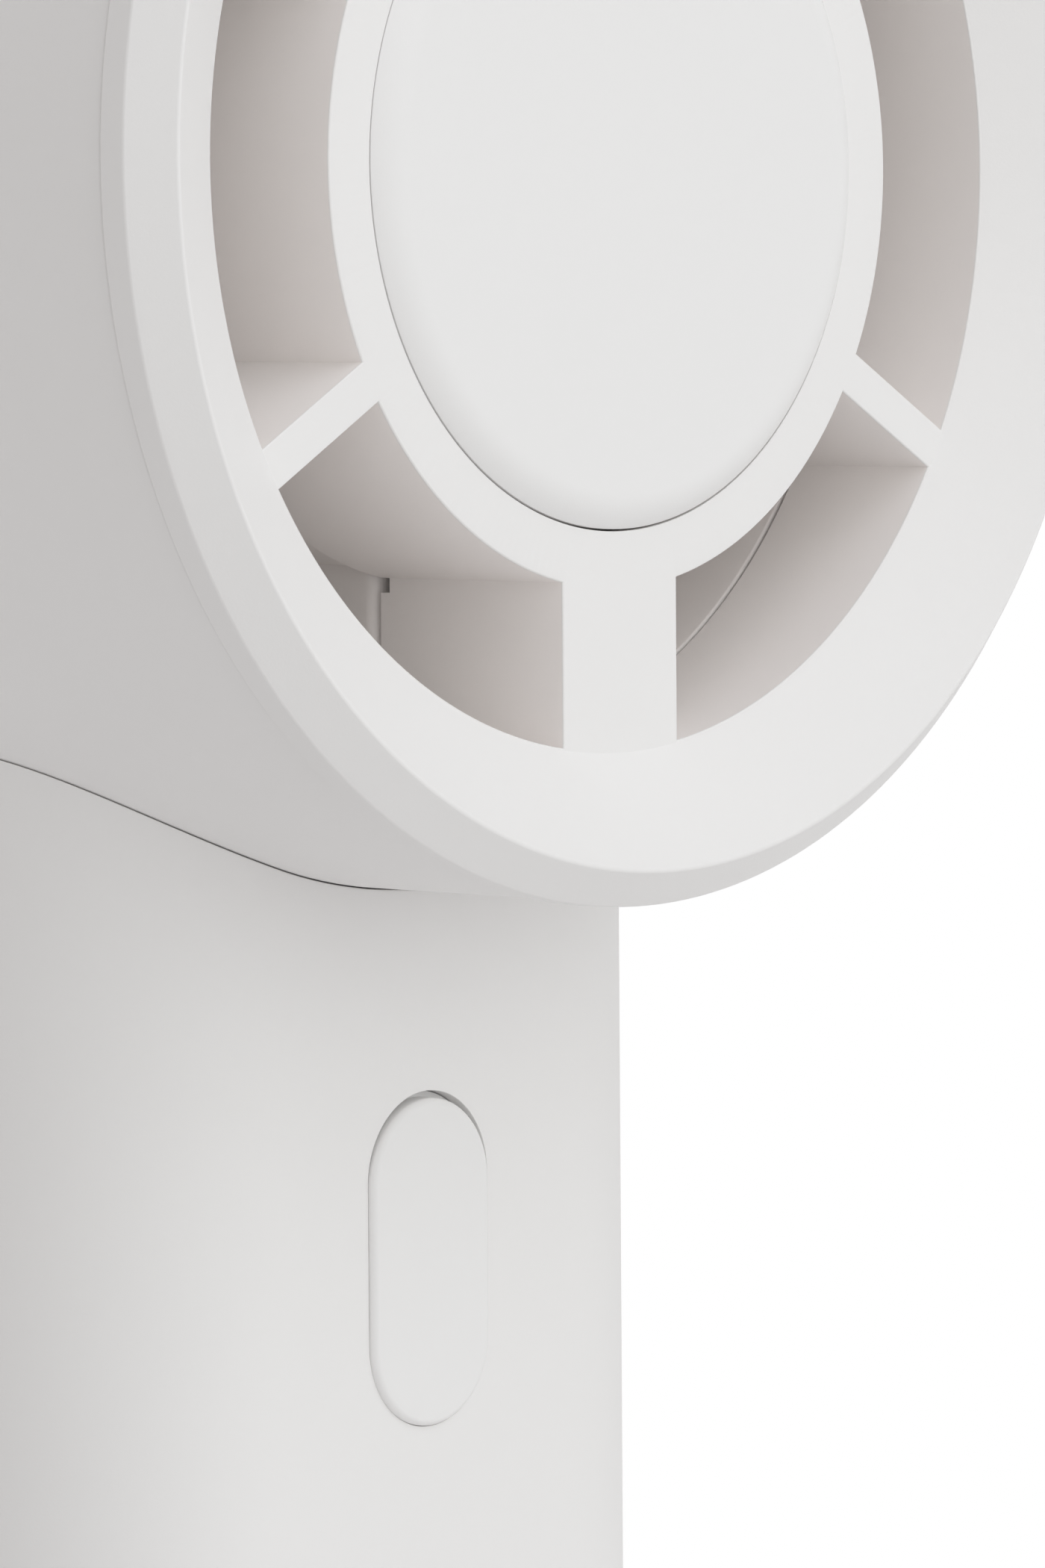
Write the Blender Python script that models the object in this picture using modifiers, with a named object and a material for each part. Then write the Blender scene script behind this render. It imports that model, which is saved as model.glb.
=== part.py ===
"""Hand fan with a power bank in its handle, in metres, +Z up.

The origin is the middle of the flat base. The fan blows towards -Y. Places in the head are depths behind the
window plane, which is the front face of the spokes, and radii from the head's axis.
"""

import math

import bmesh
import bpy
from mathutils import Matrix

# Where the head sits over the handle, and the button between them
WINDOW_PLANE_OFFSET = 0.0288
BUTTON_RISE = 0.0114
BUTTON_DROP = 0.02165

# Clearances
SEAM_GAP = 0.00015
SEAT_GAP = 0.0003
SLIP_GAP = 0.0001
OVERRUN = 0.001
WELD_DISTANCE = 0.000001

# Facets of a full turn
LARGE_FACETS = 48
MIDDLE_FACETS = 32
SMALL_FACETS = 12

# Head barrel
BARREL_WALL = 0.002
DUCT_SPACE = 0.00465

# Front ring
WINDOW_RADIUS = 0.033
RIM_OVERHANG = 0.00025
RIM_CHAMFER = 0.0021
CREST_HEIGHT = 0.0041
FACE_WALL = 0.0018
SKIRT_WALL = 0.0013
SKIRT_DEPTH = 0.004

# Spokes and hub ring
SPOKE_COUNT = 6
THIN_SPOKE_WIDTH = 0.0025
WIDE_SPOKE_WIDTH = 0.0098
SPOKE_DEPTH = 0.0139
SPOKE_ROOT = 0.0012
HUB_RADIUS = 0.02384
HUB_FACE_WIDTH = 0.00325
HUB_WALL = 0.002
HUB_FLOOR_DEPTH = 0.004
HUB_FLOOR_WALL = 0.0016
ARM_NOTCH_WIDTH = 0.0007
ARM_NOTCH_HEIGHT = 0.0013

# Hub cap
CAP_BACK = 0.0022
CAP_EDGE_RADIUS = 0.0026
CAP_EDGE_TURN_SHARE = 0.14
CAP_LEDGE_WIDTH = 0.0016

# Duct behind the grille, with the motor mount
DUCT_START = 0.0103
DUCT_WALL = 0.0018
DUCT_SETBACK = 0.0017
MOUNT_INSET = 0.00064
MOUNT_PLATE_WALL = 0.002
MOUNT_RIM_DEPTH = 0.003
ARM_DEPTH = 0.0047
WIDE_ARM_WIDTH = 0.01
WIDE_ARM_CORNER = 0.0008
CABLE_CHANNEL_WIDTH = 0.0036
CABLE_CHANNEL_DEPTH = 0.0026
CABLE_CHANNEL_ROOF = 0.0014
FLANGE_SETBACK = 0.0077
FLANGE_WALL = 0.0015

# Screws that hold the head together
SCREW_SHANK_RADIUS = 0.001
SCREW_HEAD_RADIUS = 0.0018
SCREW_HEAD_HEIGHT = 0.0013
SCREW_HEAD_CHAMFER = 0.0004
SCREW_SOCKET_RADIUS = 0.0008
SCREW_SOCKET_DEPTH = 0.0007
SCREW_BOSS_RADIUS = 0.0024
GRILLE_SCREW_COUNT = 3
GRILLE_SCREW_CIRCLE = 0.012
GRILLE_SCREW_LENGTH = 0.008
DUCT_SCREW_COUNT = 4
DUCT_SCREW_LENGTH = 0.006
DUCT_BOSS_RADIUS = 0.0022
DUCT_BOSS_SINK = 0.00025
DUCT_BOSS_FLOOR = 0.002
NECK_SCREW_OFFSET = 0.013
NECK_SCREW_BACKSET = 0.001
NECK_SCREW_LENGTH = 0.012
NECK_PAD_RADIUS = 0.0029

# Rear cover
REAR_RIM_DEPTH = 0.0018
REAR_DISH_DEPTH = 0.0026
REAR_GRID_THICKNESS = 0.0016
REAR_SKIRT_DEPTH = 0.0038
REAR_HUB_RADIUS = 0.0095
REAR_BAR_WIDTH = 0.0015
REAR_RIB_WIDTH = 0.0018
REAR_RIB_COUNT = 12
REAR_RING_COUNT = 5

# Motor
SHAFT_RADIUS = 0.0015
BEARING_RADIUS = 0.003
BEARING_WIDTH = 0.0025
BEARING_INSET = 0.001
TUBE_WALL = 0.001
TUBE_LENGTH = 0.0196
CLIP_RADIUS = 0.0024
CLIP_THICKNESS = 0.0004
BOARD_MARGIN = 0.0026
BOARD_BORE_RADIUS = 0.005
BOARD_THICKNESS = 0.0012
DRIVER_CHIP_SIDE = 0.004
DRIVER_CHIP_HEIGHT = 0.0009
DRIVER_CHIP_PLACE_SHARE = 0.56
STATOR_TOOTH_COUNT = 6
STATOR_AIR_GAP = 0.0006
STATOR_YOKE_RADIUS = 0.0076
STATOR_SHOE_DEPTH = 0.0016
STATOR_TOOTH_WIDTH = 0.0036
STATOR_SLOT_WIDTH = 0.0028
STATOR_STACK = 0.0055
STATOR_LEAD = 0.0038
COIL_BUILD = 0.0016
COIL_RING_RADIUS = 0.0088
MAGNET_WALL = 0.002
MAGNET_LENGTH = 0.009
CAN_WALL = 0.0009
CAN_LEAD = 0.0006

# Impeller
IMPELLER_INSET = 0.00134
REAR_AIR = 0.0056
IMPELLER_WALL = 0.0018
IMPELLER_END_WALL = 0.0023
IMPELLER_EDGE_RADIUS = 0.0022
IMPELLER_GAP = 0.0008
BLADE_COUNT = 9
BLADE_TIP_GAP = 0.0006
BLADE_THICKNESS = 0.0012
BLADE_ROOT = 0.0009
BLADE_FRONT_INSET = 0.002
BLADE_REAR_INSET = 0.001
BLADE_SWEEP = math.radians(36)
BLADE_CAMBER = 1.3
BLADE_RADIAL_STEPS = 3
BLADE_AXIAL_STEPS = 6

# Handle sleeve
HANDLE_WALL = 0.0018
HANDLE_CORNER_STEPS = 14
NECK_WALL = 0.0016
NECK_REACH = 0.00805

# Base
BASE_LIFT = 0.0004
BASE_PLATE_TOP = 0.003
BASE_EDGE_RADIUS = 0.0012
BASE_PLUG_HEIGHT = 0.0032
PAD_MARGIN = 0.0022
PAD_THICKNESS = 0.0012
BASE_SCREW_OFFSET = 0.0115
BASE_SCREW_LENGTH = 0.005
BASE_BOSS_RADIUS = 0.003
BASE_BOSS_HEIGHT = 0.0015
BASE_SEAT_WALL = 0.0016

# Cells and their frame
CELL_RADIUS = 0.01085
CELL_LENGTH = 0.0705
CELL_GAP = 0.0002
CELL_SIDE_ROOM = 0.001
CELL_END_ROOM = 0.00215
CELL_EDGE = 0.0008
STRIP_THICKNESS = 0.0003
STRIP_WIDTH = 0.008
STRIP_TAB_WIDTH = 0.003
LEAD_RADIUS = 0.0006
LEAD_OFFSET = 0.0086
FRAME_FLOOR_WALL = 0.002
FRAME_TOP_WALL = 0.002
STRUT_WALL = 0.0012
STRUT_WIDTH = 0.005
POST_RADIUS = 0.003
FOAM_WIDTH = 0.022
FOAM_THICKNESS = 0.0006
FOAM_END_MARGIN = 0.01025

# Main board and what it carries
MAIN_BOARD_MARGIN = 0.002
INDUCTOR_SIDE = 0.0055
INDUCTOR_HEIGHT = 0.003
INDUCTOR_EDGE = 0.0008
CHIP_SIDE = 0.004
CHIP_HEIGHT = 0.0009
CONNECTOR_WIDTH = 0.006
CONNECTOR_DEPTH = 0.0036
CONNECTOR_HEIGHT = 0.004
CONNECTOR_OFFSET = 0.0045

# Power button and its switch
BUTTON_OPENING_HEIGHT = 0.0196
BUTTON_OPENING_WIDTH = 0.01005
BUTTON_PROUD = 0.00045
BUTTON_TOP_GAP = 0.0004
BUTTON_STEP_DEPTH = 0.0009
BUTTON_TRAVEL = 0.0005
BUTTON_FLANGE_LIP = 0.0011
BUTTON_FLANGE_THICKNESS = 0.0008
BUTTON_STEM_RADIUS = 0.0016
BUTTON_STEM_LENGTH = 0.0007
PLUNGER_RADIUS = 0.0017
PLUNGER_LENGTH = 0.0018
PLUNGER_PROUD = 0.001
SWITCH_SIDE = 0.006
SWITCH_HEIGHT = 0.0032
SWITCH_BOARD_WIDTH = 0.018
SWITCH_BOARD_MARGIN = 0.004

# Port and battery lights
PORT_WIDTH = 0.00894
PORT_HEIGHT = 0.00326
PORT_LENGTH = 0.0073
PORT_WALL = 0.0003
PORT_BACK_WALL = 0.0006
PORT_INSET = 0.0003
TONGUE_WIDTH = 0.0062
TONGUE_THICKNESS = 0.0007
TONGUE_SETBACK = 0.0006
TONGUE_BLOCK_LENGTH = 0.001
LIGHT_COUNT = 4
LIGHT_PITCH = 0.004
LIGHT_RADIUS = 0.0008
LIGHT_INSET = 0.0001
LIGHT_RISE = 0.0131
PIPE_BAR = 0.002
PIPE_MARGIN = 0.002
LED_SIDE = 0.001
LED_HEIGHT = 0.0007

# Motor cable. The rows are shares (across, back, down) of the way from the duct wall to the hole in the
# barrel, and from there to the connector
CABLE_RADIUS = 0.001
CABLE_END_GAP = 0.0004
CABLE_WALL_INSET = 0.0004
CABLE_BEND_SHARES = (
    (0.0, 0.0, -0.562),
    (0.0, 0.0, 0.0),
    (0.0, 0.213, 0.364),
    (0.0, 0.617, 0.645),
)
CABLE_DROP_SHARES = (
    (0.0, 0.0, 0.0),
    (0.0, 0.167, 0.066),
    (0.133, 0.306, 0.188),
    (0.578, 0.611, 0.425),
    (0.889, 0.889, 0.695),
    (1.0, 1.0, 1.0),
)
CABLE_STEPS = 3
CABLE_HOLE_LENGTH = 0.005
CABLE_HOLE_WIDTH = 0.005
CABLE_HOLE_OFFSET = -0.0072

# Colours: (red, green, blue), roughness, metallic
FINISHES = {
    "shell_white": ((0.78, 0.76, 0.75), 0.55, 0.0),
    "cap_white": ((0.77, 0.77, 0.77), 0.5, 0.0),
    "button_white": ((0.77, 0.76, 0.75), 0.5, 0.0),
    "duct_white": ((0.72, 0.70, 0.69), 0.6, 0.0),
    "steel": ((0.55, 0.55, 0.56), 0.35, 1.0),
    "can_steel": ((0.35, 0.35, 0.36), 0.4, 1.0),
    "magnet_grey": ((0.07, 0.07, 0.08), 0.6, 0.0),
    "core_steel": ((0.30, 0.31, 0.33), 0.5, 1.0),
    "copper": ((0.70, 0.33, 0.15), 0.4, 1.0),
    "brass": ((0.72, 0.55, 0.27), 0.35, 1.0),
    "board_green": ((0.02, 0.16, 0.07), 0.45, 0.0),
    "black_plastic": ((0.02, 0.02, 0.02), 0.5, 0.0),
    "frame_grey": ((0.25, 0.26, 0.27), 0.6, 0.0),
    "cell_wrap": ((0.05, 0.28, 0.34), 0.4, 0.0),
    "nickel": ((0.66, 0.64, 0.60), 0.3, 1.0),
    "wire_red": ((0.45, 0.03, 0.02), 0.5, 0.0),
    "wire_black": ((0.02, 0.02, 0.02), 0.5, 0.0),
    "foam": ((0.04, 0.04, 0.045), 0.9, 0.0),
    "pad_grey": ((0.62, 0.61, 0.60), 0.8, 0.0),
    "clear_plastic": ((0.80, 0.82, 0.84), 0.15, 0.0),
    "led_white": ((0.85, 0.82, 0.65), 0.3, 0.0),
}

# Places worked out from the sizes above
QUARTER = math.radians(90)
FULL_TURN = math.radians(360)
DOWN_ANGLE = math.radians(-90)
DUCT_RADIUS = WINDOW_RADIUS + DUCT_WALL
BARREL_INNER = DUCT_RADIUS + DUCT_SPACE
BARREL_RADIUS = BARREL_INNER + BARREL_WALL
RIM_RADIUS = BARREL_RADIUS + RIM_OVERHANG
CREST_RADIUS = RIM_RADIUS - RIM_CHAMFER
SCREW_HOLE_RADIUS = SCREW_SHANK_RADIUS + SLIP_GAP
BARREL_START = -SEAM_GAP
SKIRT_RADIUS = BARREL_INNER - SEAT_GAP
GRILLE_DUCT_END = DUCT_START - SEAT_GAP
GRILLE_RIM_BACK = BARREL_START - SEAM_GAP
FACE_SLOPE = CREST_HEIGHT / (CREST_RADIUS - WINDOW_RADIUS)
FACE_THICKNESS = FACE_WALL * math.hypot(1, FACE_SLOPE)
HUB_RECESS_RADIUS = HUB_RADIUS - HUB_FACE_WIDTH
CAP_RADIUS = HUB_RECESS_RADIUS - SEAM_GAP
HUB_FLOOR_BACK = HUB_FLOOR_DEPTH + HUB_FLOOR_WALL
MOUNT_RADIUS = HUB_RADIUS - MOUNT_INSET
MOUNT_RIM_INNER = MOUNT_RADIUS - DUCT_WALL
MOUNT_START = SPOKE_DEPTH + SEAT_GAP
MOUNT_PLATE_BACK = MOUNT_START + MOUNT_PLATE_WALL
MOUNT_RIM_BACK = MOUNT_PLATE_BACK + MOUNT_RIM_DEPTH
CABLE_CHANNEL_START = MOUNT_START + CABLE_CHANNEL_ROOF
TUBE_RADIUS = BEARING_RADIUS + SLIP_GAP + TUBE_WALL
TUBE_START = MOUNT_START + SEAT_GAP
TUBE_END = TUBE_START + TUBE_LENGTH
FRONT_BEARING_START = TUBE_START + BEARING_INSET + CLIP_THICKNESS
REAR_BEARING_START = TUBE_END - BEARING_INSET - BEARING_WIDTH
BOARD_RADIUS = MOUNT_RIM_INNER - BOARD_MARGIN
MOTOR_BOARD_START = MOUNT_PLATE_BACK + SEAT_GAP
MOTOR_BOARD_BACK = MOTOR_BOARD_START + BOARD_THICKNESS
IMPELLER_RADIUS = HUB_RADIUS - IMPELLER_INSET
IMPELLER_INNER = IMPELLER_RADIUS - IMPELLER_WALL
CAN_RADIUS = IMPELLER_INNER - SEAT_GAP
MAGNET_RADIUS = CAN_RADIUS - CAN_WALL - SLIP_GAP
STATOR_RADIUS = MAGNET_RADIUS - MAGNET_WALL - STATOR_AIR_GAP
IMPELLER_START = MOUNT_RIM_BACK + IMPELLER_GAP
CAN_START = IMPELLER_START + CAN_LEAD
CAN_END = TUBE_END + IMPELLER_GAP + CAN_WALL
MAGNET_START = CAN_START + SEAT_GAP
STATOR_START = MOTOR_BOARD_BACK + STATOR_LEAD
STATOR_END = STATOR_START + STATOR_STACK
IMPELLER_FLOOR = CAN_END + SEAT_GAP
IMPELLER_END = IMPELLER_FLOOR + IMPELLER_END_WALL
SHAFT_START = TUBE_START + SEAT_GAP
SHAFT_END = IMPELLER_FLOOR + IMPELLER_END_WALL / 2
REAR_FACE = IMPELLER_END + REAR_AIR + REAR_GRID_THICKNESS
REAR_CREST = REAR_FACE + REAR_DISH_DEPTH
REAR_RIM_START = REAR_CREST - RIM_CHAMFER - REAR_RIM_DEPTH
BARREL_END = REAR_RIM_START - SEAM_GAP
DUCT_END = BARREL_END - DUCT_SETBACK
FLANGE_START = BARREL_END - FLANGE_SETBACK
FLANGE_BACK = FLANGE_START + FLANGE_WALL
DUCT_SCREW_CIRCLE = BARREL_INNER - DUCT_BOSS_RADIUS + DUCT_BOSS_SINK
DUCT_SCREW_TIP = FLANGE_BACK - DUCT_SCREW_LENGTH
HANDLE_BOTTOM = BASE_PLATE_TOP + SEAM_GAP
CELL_SPACING = 2 * CELL_RADIUS + CELL_GAP
STRIP_LENGTH = CELL_SPACING + STRIP_WIDTH
HANDLE_INNER_WIDTH = CELL_SPACING + 2 * (CELL_RADIUS + CELL_END_ROOM)
HANDLE_INNER_DEPTH = 2 * (CELL_RADIUS + CELL_SIDE_ROOM)
HANDLE_WIDTH = HANDLE_INNER_WIDTH + 2 * HANDLE_WALL
HANDLE_DEPTH = HANDLE_INNER_DEPTH + 2 * HANDLE_WALL
PLUG_WIDTH = HANDLE_INNER_WIDTH - 2 * SEAT_GAP
PLUG_DEPTH = HANDLE_INNER_DEPTH - 2 * SEAT_GAP
BASE_BOSS_TOP = BASE_PLATE_TOP + BASE_BOSS_HEIGHT
BASE_SCREW_SEAT = BASE_BOSS_TOP - BASE_SEAT_WALL
FRAME_FLOOR_BOTTOM = BASE_PLATE_TOP + BASE_PLUG_HEIGHT + SEAT_GAP
FRAME_FLOOR_TOP = FRAME_FLOOR_BOTTOM + FRAME_FLOOR_WALL
BOTTOM_STRIP_START = FRAME_FLOOR_TOP + SLIP_GAP
CELL_BOTTOM = BOTTOM_STRIP_START + STRIP_THICKNESS + SLIP_GAP
CELL_TOP = CELL_BOTTOM + CELL_LENGTH
TOP_STRIP_START = CELL_TOP + SLIP_GAP
FRAME_TOP_BOTTOM = TOP_STRIP_START + STRIP_THICKNESS + SLIP_GAP
FRAME_TOP = FRAME_TOP_BOTTOM + FRAME_TOP_WALL
MAIN_BOARD_BOTTOM = FRAME_TOP + SEAT_GAP
MAIN_BOARD_TOP = MAIN_BOARD_BOTTOM + BOARD_THICKNESS
PARTS_BOTTOM = MAIN_BOARD_TOP + SLIP_GAP
BUTTON_HEIGHT = MAIN_BOARD_TOP + BUTTON_RISE
HEAD_AXIS_HEIGHT = BUTTON_HEIGHT + BUTTON_DROP + BARREL_RADIUS
NECK_BOTTOM = HEAD_AXIS_HEIGHT - BARREL_RADIUS - NECK_REACH
NECK_HEAD_REACH = math.sqrt((DUCT_RADIUS + SEAT_GAP) ** 2 - (NECK_SCREW_OFFSET - SCREW_HEAD_RADIUS) ** 2)
NECK_SEAT = HEAD_AXIS_HEIGHT - NECK_HEAD_REACH - SCREW_HEAD_HEIGHT
NECK_SCREW_TIP = NECK_SEAT - NECK_SCREW_LENGTH
POST_REACH = math.sqrt(BARREL_RADIUS ** 2 - (NECK_SCREW_OFFSET - POST_RADIUS) ** 2)
POST_TOP = HEAD_AXIS_HEIGHT - POST_REACH - SEAT_GAP
BUTTON_FACE = -HANDLE_DEPTH / 2 - BUTTON_PROUD
BUTTON_STEP = -HANDLE_DEPTH / 2 + BUTTON_STEP_DEPTH
BUTTON_FLANGE_FRONT = -HANDLE_INNER_DEPTH / 2 + SEAT_GAP
BUTTON_FLANGE_BACK = BUTTON_FLANGE_FRONT + BUTTON_FLANGE_THICKNESS
BUTTON_STEM_END = BUTTON_FLANGE_BACK + BUTTON_STEM_LENGTH
PLUNGER_FRONT = BUTTON_STEM_END + SLIP_GAP
SWITCH_FRONT = PLUNGER_FRONT + PLUNGER_PROUD
SWITCH_BACK = SWITCH_FRONT + SWITCH_HEIGHT
SWITCH_BOARD_FRONT = SWITCH_BACK + SLIP_GAP
PORT_MOUTH = HANDLE_DEPTH / 2 - PORT_INSET
PORT_BACK = PORT_MOUTH - PORT_LENGTH
PORT_Z = PARTS_BOTTOM + PORT_HEIGHT / 2
PIPE_FRONT = PORT_BACK - SEAT_GAP - PIPE_BAR
LIGHT_HEIGHT = MAIN_BOARD_TOP + LIGHT_RISE

# The head's own frame has its Z to the front, so a depth is a place on -Z
HEAD_PLACE = Matrix.Translation((0, -WINDOW_PLANE_OFFSET, HEAD_AXIS_HEIGHT))
HEAD_FRAME = HEAD_PLACE @ Matrix.Rotation(QUARTER, 4, "X")
BASE_FRAME = Matrix.Identity(4)


def clear_scene():
    for item in list(bpy.data.objects):
        bpy.data.objects.remove(item)


def make_collection(name):
    collection = bpy.data.collections.new(name)
    bpy.context.scene.collection.children.link(collection)
    return collection


def make_materials():
    made = {}
    for name, (colour, roughness, metallic) in FINISHES.items():
        material = bpy.data.materials.new(name)
        material.use_nodes = True
        shader = material.node_tree.nodes["Principled BSDF"]
        shader.inputs["Base Color"].default_value = (*colour, 1)
        shader.inputs["Roughness"].default_value = roughness
        shader.inputs["Metallic"].default_value = metallic
        made[name] = material
    return made


def helper(name, mesh, frame):
    """A shape that others cut or join; publish() makes it a piece of the fan."""
    item = bpy.data.objects.new(name, mesh)
    HELPERS.objects.link(item)
    item.matrix_world = frame
    item.hide_render = True
    item.display_type = "WIRE"
    return item


def publish(item, name, finish):
    HELPERS.objects.unlink(item)
    PIECES.objects.link(item)
    item.name = name
    item.hide_render = False
    item.display_type = "TEXTURED"
    item.data.materials.clear()
    item.data.materials.append(MATERIALS[finish])
    return item


def combine(target, operation, others):
    for other in others:
        modifier = target.modifiers.new(operation.lower(), "BOOLEAN")
        modifier.operation = operation
        modifier.object = other
    return target


def join(target, *others):
    return combine(target, "UNION", others)


def cut(target, *others):
    return combine(target, "DIFFERENCE", others)


def from_bmesh(name, shape, frame):
    bmesh.ops.recalc_face_normals(shape, faces=shape.faces)
    mesh = bpy.data.meshes.new(name)
    shape.to_mesh(mesh)
    shape.free()
    return helper(name, mesh, frame)


def block(name, low, high, frame=BASE_FRAME):
    middle = [(a + b) / 2 for a, b in zip(low, high)]
    size = [b - a for a, b in zip(low, high)]
    shape = bmesh.new()
    bmesh.ops.create_cube(shape, size=1, matrix=Matrix.Translation(middle) @ Matrix.Diagonal((*size, 1)))
    return from_bmesh(name, shape, frame)


def rod(name, radius, low, high, frame=BASE_FRAME, facets=SMALL_FACETS):
    """A cylinder on the frame's Z from low to high, with a flat facet towards +X."""
    turn = Matrix.Rotation(FULL_TURN / facets / 2, 4, "Z")
    shape = bmesh.new()
    bmesh.ops.create_cone(
        shape,
        cap_ends=True,
        segments=facets,
        radius1=radius,
        radius2=radius,
        depth=high - low,
        matrix=Matrix.Translation((0, 0, (low + high) / 2)) @ turn,
    )
    return from_bmesh(name, shape, frame)


def turned(name, outline, frame=HEAD_FRAME, facets=LARGE_FACETS):
    """Turns (radius, depth) points about the frame's Z; a profile that starts off the axis is closed."""
    points = [(radius, 0, -depth) for radius, depth in outline]
    edges = [(i, i + 1) for i in range(len(points) - 1)]
    if outline[0][0] > 0:
        edges.append((len(points) - 1, 0))
    mesh = bpy.data.meshes.new(name)
    mesh.from_pydata(points, edges, [])
    item = helper(name, mesh, frame)
    screw = item.modifiers.new("turn", "SCREW")
    screw.axis = "Z"
    screw.steps = facets
    screw.render_steps = facets
    screw.use_merge_vertices = True
    screw.merge_threshold = WELD_DISTANCE
    return item


def prism(name, loops, low, high, frame=BASE_FRAME):
    """A flat outline with its holes, pulled along the frame's Z from low to high."""
    curve = bpy.data.curves.new(name, "CURVE")
    curve.dimensions = "2D"
    curve.fill_mode = "BOTH"
    curve.extrude = (high - low) / 2
    for loop in loops:
        spline = curve.splines.new("POLY")
        spline.points.add(len(loop) - 1)
        spline.use_cyclic_u = True
        for point, (x, y) in zip(spline.points, loop):
            point.co = (x, y, 0, 1)
    flat = helper(name, curve, frame @ Matrix.Translation((0, 0, (low + high) / 2)))
    bpy.context.view_layer.update()
    graph = bpy.context.evaluated_depsgraph_get()
    shape = bmesh.new()
    shape.from_mesh(bpy.data.meshes.new_from_object(flat.evaluated_get(graph)))
    bmesh.ops.remove_doubles(shape, verts=shape.verts, dist=WELD_DISTANCE)
    place = flat.matrix_world.copy()
    bpy.data.objects.remove(flat)
    return from_bmesh(name, shape, place)


def arc(centre, radius, start, end, steps):
    return [
        (
            centre[0] + radius * math.cos(start + (end - start) * i / steps),
            centre[1] + radius * math.sin(start + (end - start) * i / steps),
        )
        for i in range(steps + 1)
    ]


def polar(radius, angle):
    return (radius * math.cos(angle), radius * math.sin(angle))


def circle(radius, facets):
    return arc((0, 0), radius, 0, FULL_TURN, facets)[:-1]


def rectangle(width, height):
    return [(a * width / 2, b * height / 2) for a, b in ((-1, -1), (1, -1), (1, 1), (-1, 1))]


def stadium(width, height, steps=HANDLE_CORNER_STEPS):
    """A straight-sided outline with half-round ends on its short sides."""
    radius = min(width, height) / 2
    along_x = max(width - height, 0) / 2
    along_y = max(height - width, 0) / 2
    start = -QUARTER if width >= height else 0
    first = arc((along_x, along_y), radius, start, start + 2 * QUARTER, steps)
    second = arc((-along_x, -along_y), radius, start + 2 * QUARTER, start + 4 * QUARTER, steps)
    return first + second


def rounded_edge(radius, depth, width, height, steps=4):
    """Turned-profile points of an outer edge: from the flat face at depth to the side at radius."""
    return [
        (
            radius - width * (1 - math.sin(QUARTER * i / steps)),
            depth + height * (1 - math.cos(QUARTER * i / steps)),
        )
        for i in range(steps + 1)
    ]


def head_spot(radius, angle):
    return HEAD_FRAME @ Matrix.Rotation(angle, 4, "Z") @ Matrix.Translation((radius, 0, 0))


def spoke_frame(angle):
    """X runs out along the spoke, Y to the front and Z across it."""
    return HEAD_FRAME @ Matrix.Rotation(angle, 4, "Z") @ Matrix.Rotation(QUARTER, 4, "X")


def upright(x, y, z=0):
    return Matrix.Translation((x, y, z))


def spoke_angles():
    return [DOWN_ANGLE + FULL_TURN * i / SPOKE_COUNT for i in range(SPOKE_COUNT)]


def spread(count, offset=0):
    return [offset + FULL_TURN * i / count for i in range(count)]


def head_rod(name, radius, start, end, spot=HEAD_FRAME, facets=SMALL_FACETS):
    return rod(name, radius, -end, -start, spot, facets)


def face_depth(radius):
    """Depth of the dished front face at a radius."""
    return -(radius - WINDOW_RADIUS) * FACE_SLOPE


def screw(name, frame, length, flip=False):
    """A pan-head screw whose head's underside is at the frame's origin and whose shank runs along -Z."""
    outline = [
        (0, SCREW_SOCKET_DEPTH - SCREW_HEAD_HEIGHT),
        (SCREW_SOCKET_RADIUS, SCREW_SOCKET_DEPTH - SCREW_HEAD_HEIGHT),
        (SCREW_SOCKET_RADIUS, -SCREW_HEAD_HEIGHT),
        (SCREW_HEAD_RADIUS - SCREW_HEAD_CHAMFER, -SCREW_HEAD_HEIGHT),
        (SCREW_HEAD_RADIUS, SCREW_HEAD_CHAMFER - SCREW_HEAD_HEIGHT),
        (SCREW_HEAD_RADIUS, -SLIP_GAP),
        (SCREW_SHANK_RADIUS, -SLIP_GAP),
        (SCREW_SHANK_RADIUS, length - SCREW_SHANK_RADIUS),
        (0, length),
    ]
    if flip:
        frame = frame @ Matrix.Rotation(2 * QUARTER, 4, "X")
    publish(turned(name, outline, frame, SMALL_FACETS), name, "steel")


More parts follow.
